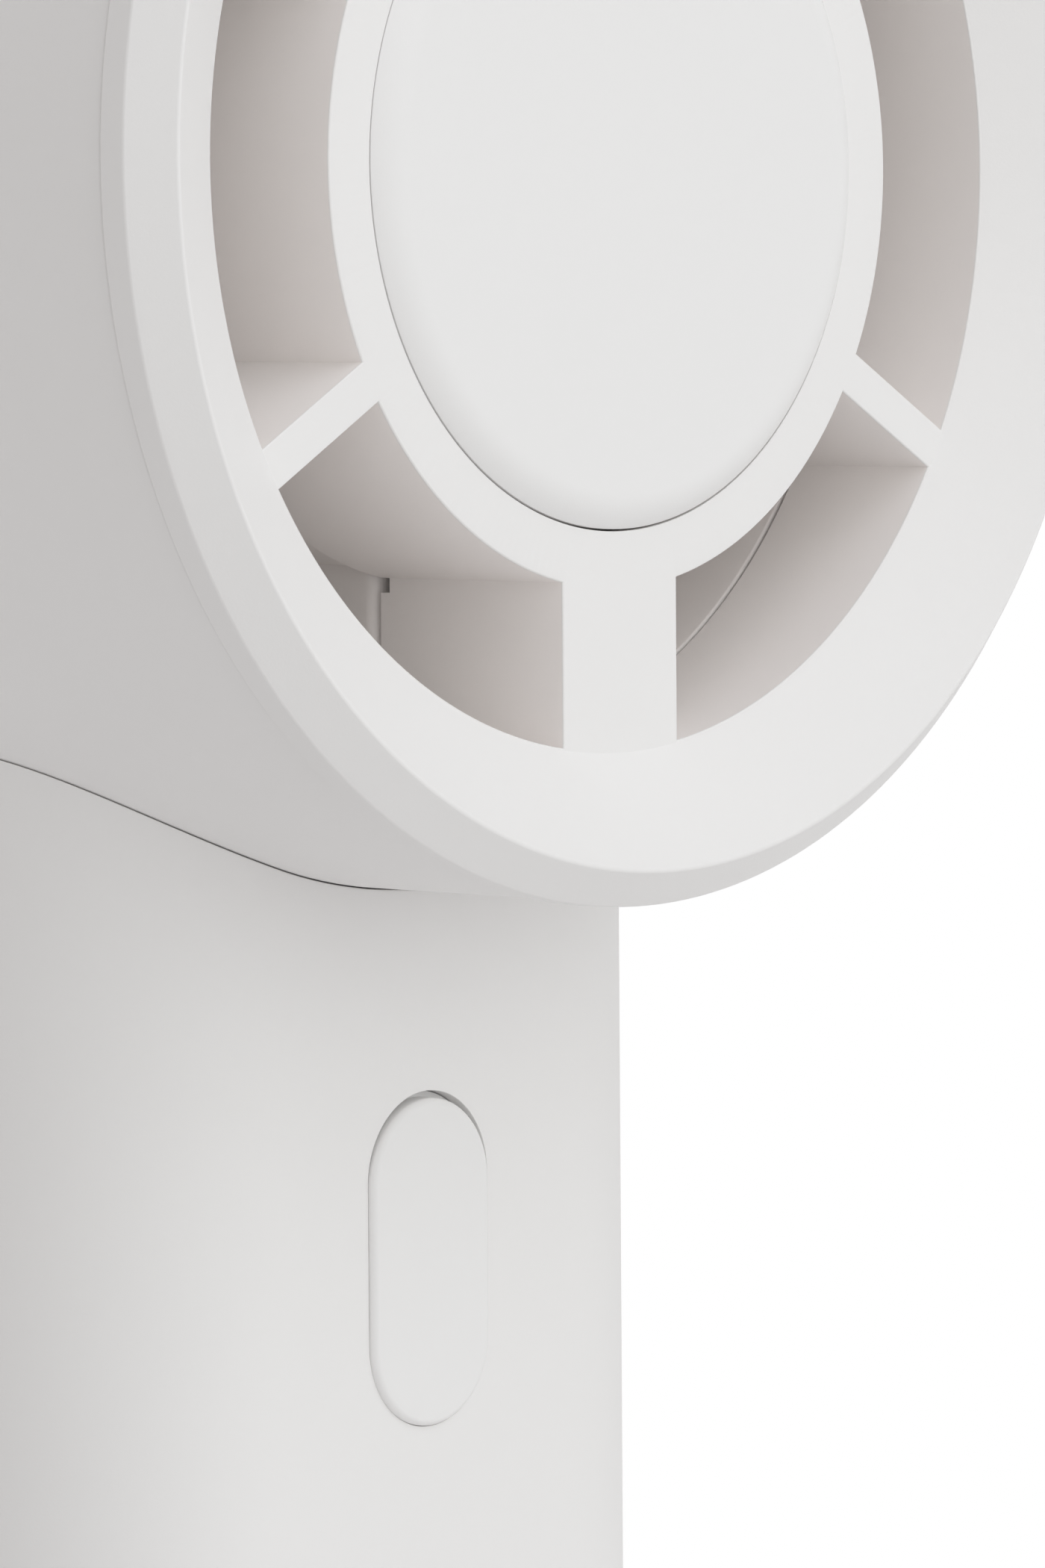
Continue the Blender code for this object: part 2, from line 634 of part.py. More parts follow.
def make_front_grille():
    ring = turned("ring", [
        (CREST_RADIUS, -CREST_HEIGHT),
        (RIM_RADIUS, RIM_RADIUS - CREST_RADIUS - CREST_HEIGHT),
        (RIM_RADIUS, GRILLE_RIM_BACK),
        (SKIRT_RADIUS, GRILLE_RIM_BACK),
        (SKIRT_RADIUS, SKIRT_DEPTH),
        (SKIRT_RADIUS - SKIRT_WALL, SKIRT_DEPTH),
        (SKIRT_RADIUS - SKIRT_WALL, face_depth(SKIRT_RADIUS - SKIRT_WALL) + FACE_THICKNESS),
        (DUCT_RADIUS, face_depth(DUCT_RADIUS) + FACE_THICKNESS),
        (DUCT_RADIUS, GRILLE_DUCT_END),
        (WINDOW_RADIUS, GRILLE_DUCT_END),
        (WINDOW_RADIUS, 0),
    ])
    ledge_inner = HUB_RECESS_RADIUS - CAP_LEDGE_WIDTH
    hub = turned("grille_hub", [
        (0, HUB_FLOOR_DEPTH),
        (ledge_inner, HUB_FLOOR_DEPTH),
        (ledge_inner, CAP_BACK + SLIP_GAP),
        (HUB_RECESS_RADIUS, CAP_BACK + SLIP_GAP),
        (HUB_RECESS_RADIUS, 0),
        (HUB_RADIUS, 0),
        (HUB_RADIUS, SPOKE_DEPTH),
        (HUB_RADIUS - HUB_WALL, SPOKE_DEPTH),
        (HUB_RADIUS - HUB_WALL, HUB_FLOOR_BACK),
        (0, HUB_FLOOR_BACK),
    ])
    spokes = []
    for angle in spoke_angles():
        width = WIDE_SPOKE_WIDTH if angle == DOWN_ANGLE else THIN_SPOKE_WIDTH
        rear_end = math.sqrt((WINDOW_RADIUS - SEAT_GAP) ** 2 - (width / 2) ** 2)
        outline = [
            (HUB_RADIUS - SPOKE_ROOT, 0),
            (HUB_RADIUS - SPOKE_ROOT, -SPOKE_DEPTH),
            (rear_end, -SPOKE_DEPTH),
            (rear_end, SEAT_GAP - GRILLE_DUCT_END),
            (WINDOW_RADIUS + SPOKE_ROOT, SEAT_GAP - GRILLE_DUCT_END),
            (WINDOW_RADIUS + SPOKE_ROOT, 0),
        ]
        spokes.append(prism("spoke", [outline], -width / 2, width / 2, spoke_frame(angle)))
    holes = [
        head_rod("grille_hole", SCREW_HOLE_RADIUS, 0, HUB_FLOOR_BACK + OVERRUN, spot)
        for spot in grille_screw_spots()
    ]
    notches = [
        block(
            "notch",
            (side * WIDE_SPOKE_WIDTH / 2 - OVERRUN, -HUB_RADIUS - ARM_NOTCH_HEIGHT, -SPOKE_DEPTH - OVERRUN),
            (side * WIDE_SPOKE_WIDTH / 2 + OVERRUN, -HUB_RADIUS + SEAM_GAP, ARM_NOTCH_WIDTH - SPOKE_DEPTH),
            HEAD_FRAME,
        )
        for side in (-1, 1)
    ]
    join(ring, hub, *spokes)
    cut(ring, *holes, *notches)
    publish(ring, "front_grille", "shell_white")


def make_hub_cap(steps=4):
    """Its face stands proud of the hub ring, and its rim is level with the ring."""
    slope = FULL_TURN * CAP_EDGE_TURN_SHARE
    inner = CAP_RADIUS - CAP_EDGE_RADIUS * math.sin(slope)
    depth = CAP_EDGE_RADIUS * math.cos(slope)
    outline = [(0, depth - CAP_EDGE_RADIUS)]
    outline += [
        (
            inner + CAP_EDGE_RADIUS * math.sin(slope * i / steps),
            depth - CAP_EDGE_RADIUS * math.cos(slope * i / steps),
        )
        for i in range(steps + 1)
    ]
    outline += [(CAP_RADIUS, CAP_BACK), (0, CAP_BACK)]
    publish(turned("hub_cap", outline), "hub_cap", "cap_white")


def grille_screw_spots():
    return [head_spot(GRILLE_SCREW_CIRCLE, angle) for angle in spread(GRILLE_SCREW_COUNT, QUARTER)]


def duct_screw_spots():
    return [head_spot(DUCT_SCREW_CIRCLE, angle) for angle in spread(DUCT_SCREW_COUNT, QUARTER / 2)]


def make_fan_duct():
    flange_radius = BARREL_INNER - SEAT_GAP
    duct = turned("duct", [
        (DUCT_RADIUS, DUCT_START),
        (DUCT_RADIUS, FLANGE_START),
        (flange_radius, FLANGE_START),
        (flange_radius, FLANGE_BACK),
        (DUCT_RADIUS, FLANGE_BACK),
        (DUCT_RADIUS, DUCT_END),
        (WINDOW_RADIUS, DUCT_END),
        (WINDOW_RADIUS, DUCT_START),
    ])
    mount = turned("mount", [
        (MOUNT_RADIUS, MOUNT_START),
        (MOUNT_RADIUS, MOUNT_RIM_BACK),
        (MOUNT_RIM_INNER, MOUNT_RIM_BACK),
        (MOUNT_RIM_INNER, MOUNT_PLATE_BACK),
        (TUBE_RADIUS + SLIP_GAP, MOUNT_PLATE_BACK),
        (TUBE_RADIUS + SLIP_GAP, MOUNT_START),
    ])
    arm_start = MOUNT_RADIUS - SPOKE_ROOT
    arm_end = WINDOW_RADIUS + SPOKE_ROOT
    arms = [
        block(
            "arm",
            (arm_start, -THIN_SPOKE_WIDTH / 2, -MOUNT_START - ARM_DEPTH),
            (arm_end, THIN_SPOKE_WIDTH / 2, -MOUNT_START),
            head_spot(0, angle),
        )
        for angle in spoke_angles()[1:]
    ]
    arms.append(prism(
        "wide_arm",
        [wide_arm_outline()],
        arm_start,
        arm_end,
        HEAD_FRAME @ Matrix.Rotation(QUARTER, 4, "X"),
    ))
    boss_start = HUB_FLOOR_BACK + SEAT_GAP
    bosses = [
        head_rod("grille_boss", SCREW_BOSS_RADIUS, boss_start, MOUNT_PLATE_BACK - SLIP_GAP, spot)
        for spot in grille_screw_spots()
    ]
    pilot_floor = HUB_FLOOR_DEPTH + GRILLE_SCREW_LENGTH + SEAT_GAP
    pilots = [
        head_rod("grille_pilot", SCREW_HOLE_RADIUS, 0, pilot_floor, spot)
        for spot in grille_screw_spots()
    ]
    holes = [
        head_rod("duct_hole", SCREW_HOLE_RADIUS, FLANGE_START - OVERRUN, FLANGE_BACK + OVERRUN, spot)
        for spot in duct_screw_spots()
    ]
    channel = block(
        "cable_channel",
        (-CABLE_CHANNEL_WIDTH / 2, -DUCT_RADIUS - OVERRUN, -CABLE_CHANNEL_START - CABLE_CHANNEL_DEPTH),
        (CABLE_CHANNEL_WIDTH / 2, -BOARD_RADIUS, -CABLE_CHANNEL_START),
        HEAD_FRAME,
    )
    join(duct, mount, *arms, *bosses)
    cut(duct, channel, *pilots, *holes)
    publish(duct, "fan_duct", "duct_white")


def wide_arm_outline():
    """Section of the wide arm, (across, back), with both front edges rounded."""
    half = WIDE_ARM_WIDTH / 2
    corner = WIDE_ARM_CORNER
    front = -MOUNT_START
    left = arc((-half + corner, front - corner), corner, 2 * QUARTER, QUARTER, 4)
    right = arc((half - corner, front - corner), corner, QUARTER, 0, 4)
    return left + right + [(half, -MOUNT_RIM_BACK), (-half, -MOUNT_RIM_BACK)]


def barrel_core(name, radius):
    """A cylinder with the barrel's facets, a little longer than it."""
    start = BARREL_START - OVERRUN
    end = BARREL_END + OVERRUN
    return turned(name, [(0, start), (radius, start), (radius, end), (0, end)])


def make_head_shell():
    barrel = turned("barrel", [
        (BARREL_RADIUS, BARREL_START),
        (BARREL_RADIUS, BARREL_END),
        (BARREL_INNER, BARREL_END),
        (BARREL_INNER, BARREL_START),
    ])
    neck = prism(
        "neck",
        [stadium(PLUG_WIDTH, PLUG_DEPTH), stadium(PLUG_WIDTH - 2 * NECK_WALL, PLUG_DEPTH - 2 * NECK_WALL)],
        NECK_BOTTOM,
        HEAD_AXIS_HEIGHT,
    )
    middle_radius = BARREL_RADIUS - BARREL_WALL / 2
    cut(neck, barrel_core("neck_bore", middle_radius))
    pad_foot = HEAD_AXIS_HEIGHT - math.sqrt(middle_radius ** 2 - NECK_SCREW_OFFSET ** 2)
    pads = []
    holes = []
    for side in (-1, 1):
        spot = upright(side * NECK_SCREW_OFFSET, NECK_SCREW_BACKSET)
        pads.append(rod("neck_pad", NECK_PAD_RADIUS, pad_foot, NECK_SEAT, spot))
        holes.append(rod("neck_hole", SCREW_HOLE_RADIUS, NECK_BOTTOM, NECK_SEAT + OVERRUN, spot))
    pilot_floor = DUCT_SCREW_TIP - SEAT_GAP
    boss_end = FLANGE_START - SEAT_GAP
    bosses = [
        head_rod("duct_boss", DUCT_BOSS_RADIUS, pilot_floor - DUCT_BOSS_FLOOR, boss_end, spot)
        for spot in duct_screw_spots()
    ]
    pilots = [
        head_rod("duct_pilot", SCREW_HOLE_RADIUS, pilot_floor, FLANGE_START, spot)
        for spot in duct_screw_spots()
    ]
    half_width = CABLE_HOLE_WIDTH / 2
    half_length = CABLE_HOLE_LENGTH / 2
    cable_hole = block(
        "cable_hole",
        (-half_width, CABLE_HOLE_OFFSET - half_length, HEAD_AXIS_HEIGHT - BARREL_RADIUS - OVERRUN),
        (half_width, CABLE_HOLE_OFFSET + half_length, HEAD_AXIS_HEIGHT - DUCT_RADIUS),
    )
    join(barrel, neck, *pads, *bosses)
    cut(barrel, *holes, *pilots, cable_hole)
    publish(barrel, "head_shell", "shell_white")


def annular_slot(inner, outer, middle_angle):
    """A slot of the rear grid between two radii, whose ends are parallel to the ribs beside it."""
    points = []
    half = FULL_TURN / REAR_RIB_COUNT / 2
    steps = LARGE_FACETS // REAR_RIB_COUNT
    for radius, direction in ((outer, 1), (inner, -1)):
        reach = half - math.asin(REAR_RIB_WIDTH / 2 / radius)
        reach *= direction
        points += arc((0, 0), radius, middle_angle - reach, middle_angle + reach, steps)
    return points


def make_rear_cover():
    skirt_inner = SKIRT_RADIUS - SKIRT_WALL
    slope = REAR_DISH_DEPTH / (CREST_RADIUS - WINDOW_RADIUS)
    underside = REAR_FACE + (skirt_inner - WINDOW_RADIUS) * slope - REAR_GRID_THICKNESS
    ring = turned("rear_ring", [
        (RIM_RADIUS, REAR_RIM_START),
        (RIM_RADIUS, REAR_RIM_START + REAR_RIM_DEPTH),
        (CREST_RADIUS, REAR_CREST),
        (WINDOW_RADIUS, REAR_FACE),
        (WINDOW_RADIUS, REAR_FACE - REAR_GRID_THICKNESS),
        (skirt_inner, underside),
        (skirt_inner, REAR_RIM_START - REAR_SKIRT_DEPTH),
        (SKIRT_RADIUS, REAR_RIM_START - REAR_SKIRT_DEPTH),
        (SKIRT_RADIUS, REAR_RIM_START),
    ])
    pitch = (WINDOW_RADIUS - SEAT_GAP - REAR_HUB_RADIUS + REAR_BAR_WIDTH) / REAR_RING_COUNT
    loops = [circle(WINDOW_RADIUS + SLIP_GAP, LARGE_FACETS)]
    for i in range(REAR_RING_COUNT):
        inner = REAR_HUB_RADIUS + i * pitch
        outer = inner + pitch - REAR_BAR_WIDTH
        for middle in spread(REAR_RIB_COUNT, FULL_TURN / REAR_RIB_COUNT / 2):
            loops.append(annular_slot(inner, outer, middle))
    low = SLIP_GAP - REAR_FACE
    high = REAR_GRID_THICKNESS - SLIP_GAP - REAR_FACE
    grid = prism("rear_grid", loops, low, high, HEAD_FRAME)
    join(ring, grid)
    # The sides of one rib lie in one line, which the Boolean solves only with this on
    ring.modifiers["union"].use_self = True
    publish(ring, "rear_cover", "shell_white")


def make_impeller():
    bore = SHAFT_RADIUS + SLIP_GAP
    edge = rounded_edge(IMPELLER_RADIUS, 0, IMPELLER_EDGE_RADIUS, IMPELLER_EDGE_RADIUS)
    hub = turned("impeller_hub", [
        (0, SHAFT_END + SLIP_GAP),
        (bore, SHAFT_END + SLIP_GAP),
        (bore, IMPELLER_FLOOR),
        (IMPELLER_INNER, IMPELLER_FLOOR),
        (IMPELLER_INNER, IMPELLER_START),
        (IMPELLER_RADIUS, IMPELLER_START),
        *[(radius, IMPELLER_END - depth) for radius, depth in reversed(edge)],
        (0, IMPELLER_END),
    ])
    join(hub, make_blades())
    publish(hub, "impeller", "duct_white")


def make_blades():
    """All blades in one helper: each is a grid bent into a twisted strip, thickened by Solidify."""
    low = IMPELLER_START + BLADE_FRONT_INSET
    high = IMPELLER_END - BLADE_REAR_INSET
    root = IMPELLER_RADIUS - BLADE_ROOT
    tip = WINDOW_RADIUS - BLADE_TIP_GAP
    shape = bmesh.new()
    for turn in spread(BLADE_COUNT):
        made = bmesh.ops.create_grid(
            shape,
            x_segments=BLADE_RADIAL_STEPS,
            y_segments=BLADE_AXIAL_STEPS,
            size=1,
        )
        for vertex in made["verts"]:
            out = (vertex.co.x + 1) / 2
            along = (vertex.co.y + 1) / 2
            radius = root + (tip - root) * out
            angle = turn + BLADE_SWEEP * along ** BLADE_CAMBER
            vertex.co = (radius * math.cos(angle), radius * math.sin(angle), -low - (high - low) * along)
    mesh = bpy.data.meshes.new("blades")
    shape.to_mesh(mesh)
    shape.free()
    blades = helper("blades", mesh, HEAD_FRAME)
    thicken = blades.modifiers.new("thickness", "SOLIDIFY")
    thicken.thickness = BLADE_THICKNESS
    thicken.offset = 0
    return blades


def ring_piece(name, outer, inner, start, end, finish, facets=MIDDLE_FACETS):
    outline = [(outer, start), (outer, end), (inner, end), (inner, start)]
    publish(turned(name, outline, HEAD_FRAME, facets), name, finish)


def make_motor():
    ring_piece("bearing_tube", TUBE_RADIUS, BEARING_RADIUS + SLIP_GAP, TUBE_START, TUBE_END, "brass")
    for name, start in (("front_bearing", FRONT_BEARING_START), ("rear_bearing", REAR_BEARING_START)):
        ring_piece(name, BEARING_RADIUS, SHAFT_RADIUS + SLIP_GAP, start, start + BEARING_WIDTH, "steel")
    shaft = head_rod("motor_shaft", SHAFT_RADIUS, SHAFT_START, SHAFT_END, HEAD_FRAME, MIDDLE_FACETS)
    publish(shaft, "motor_shaft", "steel")
    clip_end = FRONT_BEARING_START - SLIP_GAP
    clip_bore = SHAFT_RADIUS + SLIP_GAP
    ring_piece("shaft_clip", CLIP_RADIUS, clip_bore, clip_end - CLIP_THICKNESS, clip_end, "steel")
    ring_piece(
        "magnet_ring",
        MAGNET_RADIUS,
        MAGNET_RADIUS - MAGNET_WALL,
        MAGNET_START,
        MAGNET_START + MAGNET_LENGTH,
        "magnet_grey",
    )
    can = turned("rotor_can", [
        (CAN_RADIUS, CAN_START),
        (CAN_RADIUS, CAN_END),
        (SHAFT_RADIUS + SLIP_GAP, CAN_END),
        (SHAFT_RADIUS + SLIP_GAP, CAN_END - CAN_WALL),
        (CAN_RADIUS - CAN_WALL, CAN_END - CAN_WALL),
        (CAN_RADIUS - CAN_WALL, CAN_START),
    ], HEAD_FRAME, MIDDLE_FACETS)
    publish(can, "rotor_can", "can_steel")
    ring_piece(
        "motor_board",
        BOARD_RADIUS,
        BOARD_BORE_RADIUS,
        MOTOR_BOARD_START,
        MOTOR_BOARD_BACK,
        "board_green",
    )
    half = DRIVER_CHIP_SIDE / 2
    chip_foot = -MOTOR_BOARD_BACK - SLIP_GAP
    chip = block(
        "driver_chip",
        (-half, -half, chip_foot - DRIVER_CHIP_HEIGHT),
        (half, half, chip_foot),
        head_spot(BOARD_RADIUS * DRIVER_CHIP_PLACE_SHARE, QUARTER),
    )
    publish(chip, "motor_driver_chip", "black_plastic")
    make_stator()


def make_stator():
    """The laminated core and its coils, one coil round each tooth."""
    bore = TUBE_RADIUS + SLIP_GAP
    tooth_half = STATOR_TOOTH_WIDTH / 2
    slot_half = STATOR_SLOT_WIDTH / 2
    yoke_angle = math.asin(tooth_half / STATOR_YOKE_RADIUS)
    neck_radius = STATOR_RADIUS - STATOR_SHOE_DEPTH
    tip_angle = FULL_TURN / STATOR_TOOTH_COUNT / 2 - math.asin(slot_half / STATOR_RADIUS)
    neck_angle = math.asin(tooth_half / neck_radius)
    outline = []
    for turn in spread(STATOR_TOOTH_COUNT):
        outline.append(polar(STATOR_YOKE_RADIUS, turn - yoke_angle))
        outline.append(polar(neck_radius, turn - neck_angle))
        outline += arc((0, 0), STATOR_RADIUS, turn - tip_angle, turn + tip_angle, 6)
        outline.append(polar(neck_radius, turn + neck_angle))
        outline.append(polar(STATOR_YOKE_RADIUS, turn + yoke_angle))
    core = prism("core", [outline, circle(bore, MIDDLE_FACETS)], -STATOR_END, -STATOR_START, HEAD_FRAME)
    publish(core, "stator_core", "core_steel")
    coil_start = STATOR_YOKE_RADIUS + SEAT_GAP
    coil_end = neck_radius - SEAT_GAP
    inner_width = STATOR_TOOTH_WIDTH + 2 * SLIP_GAP
    inner_height = STATOR_STACK + 2 * SLIP_GAP
    coils = []
    for turn in spread(STATOR_TOOTH_COUNT):
        place = HEAD_FRAME @ Matrix.Translation((0, 0, -(STATOR_START + STATOR_END) / 2))
        place = place @ Matrix.Rotation(turn, 4, "Z") @ Matrix.Rotation(QUARTER, 4, "Y")
        loops = [
            rectangle(inner_height + 2 * COIL_BUILD, inner_width + 2 * COIL_BUILD),
            rectangle(inner_height, inner_width),
        ]
        coils.append(prism("coil", loops, coil_start, coil_end, place))
    link_outer = COIL_RING_RADIUS + COIL_BUILD / 2
    link_inner = COIL_RING_RADIUS - COIL_BUILD / 2
    link_start = STATOR_END + COIL_BUILD / 2
    link_end = STATOR_END + COIL_BUILD + SEAT_GAP
    link = turned("coil_link", [
        (link_outer, link_start),
        (link_outer, link_end),
        (link_inner, link_end),
        (link_inner, link_start),
    ], HEAD_FRAME, MIDDLE_FACETS)
    join(link, *coils)
    publish(link, "stator_winding", "copper")


def smooth_route(points, steps):
    """Points on a Catmull-Rom curve through the route's own points."""
    padded = [points[0], *points, points[-1]]
    route = []
    for before, start, end, after in zip(padded, padded[1:], padded[2:], padded[3:]):
        for i in range(steps):
            t = i / steps
            shares = (
                (2 * t ** 2 - t ** 3 - t) / 2,
                (3 * t ** 3 - 5 * t ** 2 + 2) / 2,
                (4 * t ** 2 - 3 * t ** 3 + t) / 2,
                (t ** 3 - t ** 2) / 2,
            )
            corners = zip(before, start, end, after)
            route.append(tuple(sum(a * b for a, b in zip(shares, axis)) for axis in corners))
    return route + [points[-1]]


def tube(name, points, radius, finish):
    curve = bpy.data.curves.new(name, "CURVE")
    curve.dimensions = "3D"
    curve.bevel_depth = radius
    curve.bevel_resolution = 2
    curve.use_fill_caps = True
    spline = curve.splines.new("POLY")
    spline.points.add(len(points) - 1)
    for point, place in zip(spline.points, points):
        point.co = (*place, 1)
    publish(helper(name, curve, BASE_FRAME), name, finish)


def cable_points():
    """Down the channel in the wide arm, out through the barrel and on to the connector."""
    channel_y = CABLE_CHANNEL_START + CABLE_CHANNEL_DEPTH / 2 - WINDOW_PLANE_OFFSET
    wall = (0, channel_y, HEAD_AXIS_HEIGHT - DUCT_RADIUS + CABLE_WALL_INSET)
    hole = (0, CABLE_HOLE_OFFSET, HEAD_AXIS_HEIGHT - BARREL_INNER - BARREL_WALL / 2)
    plug = (CONNECTOR_OFFSET, 0, PARTS_BOTTOM + CONNECTOR_HEIGHT + CABLE_END_GAP)
    points = [(0, channel_y, HEAD_AXIS_HEIGHT - BOARD_RADIUS - SEAT_GAP)]
    for start, end, rows in ((wall, hole, CABLE_BEND_SHARES), (hole, plug, CABLE_DROP_SHARES)):
        points += [tuple(a + (b - a) * share for a, b, share in zip(start, end, row)) for row in rows]
    return points


def make_motor_cable():
    tube("motor_cable", smooth_route(cable_points(), CABLE_STEPS), CABLE_RADIUS, "wire_black")


def make_head_screws():
    for i, spot in enumerate(grille_screw_spots()):
        frame = spot @ Matrix.Translation((0, 0, -HUB_FLOOR_DEPTH))
        screw(f"grille_screw_{i + 1}", frame, GRILLE_SCREW_LENGTH)
    for i, spot in enumerate(duct_screw_spots()):
        frame = spot @ Matrix.Translation((0, 0, -FLANGE_BACK))
        screw(f"duct_screw_{i + 1}", frame, DUCT_SCREW_LENGTH, flip=True)
    for side, word in ((-1, "left"), (1, "right")):
        spot = upright(side * NECK_SCREW_OFFSET, NECK_SCREW_BACKSET, NECK_SEAT)
        screw(f"neck_screw_{word}", spot, NECK_SCREW_LENGTH)


def light_places():
    return [(i - (LIGHT_COUNT - 1) / 2) * LIGHT_PITCH for i in range(LIGHT_COUNT)]


def make_handle_shell():
    sleeve = prism(
        "sleeve",
        [stadium(HANDLE_WIDTH, HANDLE_DEPTH), stadium(HANDLE_INNER_WIDTH, HANDLE_INNER_DEPTH)],
        HANDLE_BOTTOM,
        HEAD_AXIS_HEIGHT,
    )
    saddle = barrel_core("saddle", BARREL_RADIUS + SEAM_GAP)
    opening = prism(
        "button_opening",
        [stadium(BUTTON_OPENING_WIDTH, BUTTON_OPENING_HEIGHT)],
        HANDLE_INNER_DEPTH / 2 - OVERRUN,
        HANDLE_DEPTH / 2 + OVERRUN,
        front_face(BUTTON_HEIGHT),
    )
    port = prism(
        "port_opening",
        [stadium(PORT_WIDTH + 2 * SEAM_GAP, PORT_HEIGHT + 2 * SEAM_GAP, 8)],
        -HANDLE_DEPTH / 2 - OVERRUN,
        -HANDLE_INNER_DEPTH / 2 + OVERRUN,
        front_face(PORT_Z),
    )
    lights = [
        rod(
            "light_hole",
            LIGHT_RADIUS + SEAM_GAP,
            -HANDLE_DEPTH / 2 - OVERRUN,
            -HANDLE_INNER_DEPTH / 2 + OVERRUN,
            front_face(LIGHT_HEIGHT, x),
        )
        for x in light_places()
    ]
    cut(sleeve, saddle, opening, port, *lights)
    publish(sleeve, "handle_shell", "shell_white")


def front_face(height, x=0):
    """X to the right, Y up and Z to the front, at a height on the handle's middle plane."""
    return Matrix.Translation((x, 0, height)) @ Matrix.Rotation(QUARTER, 4, "X")


def make_power_button():
    """Its base fills the opening, and its face hangs a little low in it."""
    frame = front_face(BUTTON_HEIGHT)
    width = BUTTON_OPENING_WIDTH - 2 * SLIP_GAP
    height = BUTTON_OPENING_HEIGHT - 2 * SLIP_GAP
    button = prism("button", [stadium(width, height)], -BUTTON_FLANGE_FRONT - SLIP_GAP, -BUTTON_STEP, frame)
    face = prism(
        "face",
        [stadium(BUTTON_OPENING_WIDTH - 2 * SEAM_GAP, BUTTON_OPENING_HEIGHT - SEAM_GAP - BUTTON_TOP_GAP)],
        -BUTTON_STEP - SEAM_GAP,
        -BUTTON_FACE,
        front_face(BUTTON_HEIGHT + (SEAM_GAP - BUTTON_TOP_GAP) / 2),
    )
    flange = prism(
        "flange",
        [stadium(width + 2 * BUTTON_FLANGE_LIP, height + 2 * BUTTON_FLANGE_LIP)],
        -BUTTON_FLANGE_BACK,
        -BUTTON_FLANGE_FRONT,
        frame,
    )
    stem = rod("stem", BUTTON_STEM_RADIUS, -BUTTON_STEM_END, -BUTTON_FLANGE_BACK + SLIP_GAP, frame)
    join(button, face, flange, stem)
    publish(button, "power_button", "button_white")


def make_switch():
    frame = front_face(BUTTON_HEIGHT)
    plunger = rod("plunger", PLUNGER_RADIUS, -PLUNGER_FRONT - PLUNGER_LENGTH, -PLUNGER_FRONT, frame)
    publish(plunger, "switch_plunger", "black_plastic")
    half = SWITCH_SIDE / 2
    body = block("switch_body", (-half, -half, -SWITCH_BACK), (half, half, -SWITCH_FRONT), frame)
    well_floor = PLUNGER_FRONT + PLUNGER_LENGTH + BUTTON_TRAVEL + SLIP_GAP
    cut(body, rod("plunger_well", PLUNGER_RADIUS + SLIP_GAP, -well_floor, OVERRUN - SWITCH_FRONT, frame))
    publish(body, "switch_body", "steel")
    board_top = BUTTON_HEIGHT + half + SWITCH_BOARD_MARGIN
    board = block(
        "switch_board",
        (-SWITCH_BOARD_WIDTH / 2, SWITCH_BOARD_FRONT, MAIN_BOARD_TOP + SEAT_GAP),
        (SWITCH_BOARD_WIDTH / 2, SWITCH_BOARD_FRONT + BOARD_THICKNESS, board_top),
    )
    publish(board, "switch_board", "board_green")


def box_on_board(name, x, y, width, depth, height, finish):
    item = block(
        name,
        (x - width / 2, y - depth / 2, PARTS_BOTTOM),
        (x + width / 2, y + depth / 2, PARTS_BOTTOM + height),
    )
    return publish(item, name, finish)


def make_main_board():
    width = HANDLE_INNER_WIDTH - 2 * MAIN_BOARD_MARGIN
    depth = HANDLE_INNER_DEPTH - 2 * MAIN_BOARD_MARGIN
    board = prism("main_board", [stadium(width, depth)], MAIN_BOARD_BOTTOM, MAIN_BOARD_TOP)
    holes = [
        rod("post_hole", POST_RADIUS + SEAT_GAP, MAIN_BOARD_BOTTOM - OVERRUN, MAIN_BOARD_TOP + OVERRUN, spot)
        for spot in post_spots()
    ]
    cut(board, *holes)
    publish(board, "main_board", "board_green")
    post_edge = POST_RADIUS + SEAT_GAP
    inductor = box_on_board(
        "power_inductor",
        -NECK_SCREW_OFFSET,
        NECK_SCREW_BACKSET - post_edge - INDUCTOR_SIDE / 2,
        INDUCTOR_SIDE,
        INDUCTOR_SIDE,
        INDUCTOR_HEIGHT,
        "magnet_grey",
    )
    bevel = inductor.modifiers.new("edges", "BEVEL")
    bevel.width = INDUCTOR_EDGE
    for name, side in (("charge_chip", 1), ("controller_chip", -1)):
        y = NECK_SCREW_BACKSET + side * (post_edge + CHIP_SIDE / 2)
        box_on_board(name, NECK_SCREW_OFFSET, y, CHIP_SIDE, CHIP_SIDE, CHIP_HEIGHT, "black_plastic")
    box_on_board(
        "motor_connector",
        CONNECTOR_OFFSET,
        0,
        CONNECTOR_WIDTH,
        CONNECTOR_DEPTH,
        CONNECTOR_HEIGHT,
        "clear_plastic",
    )


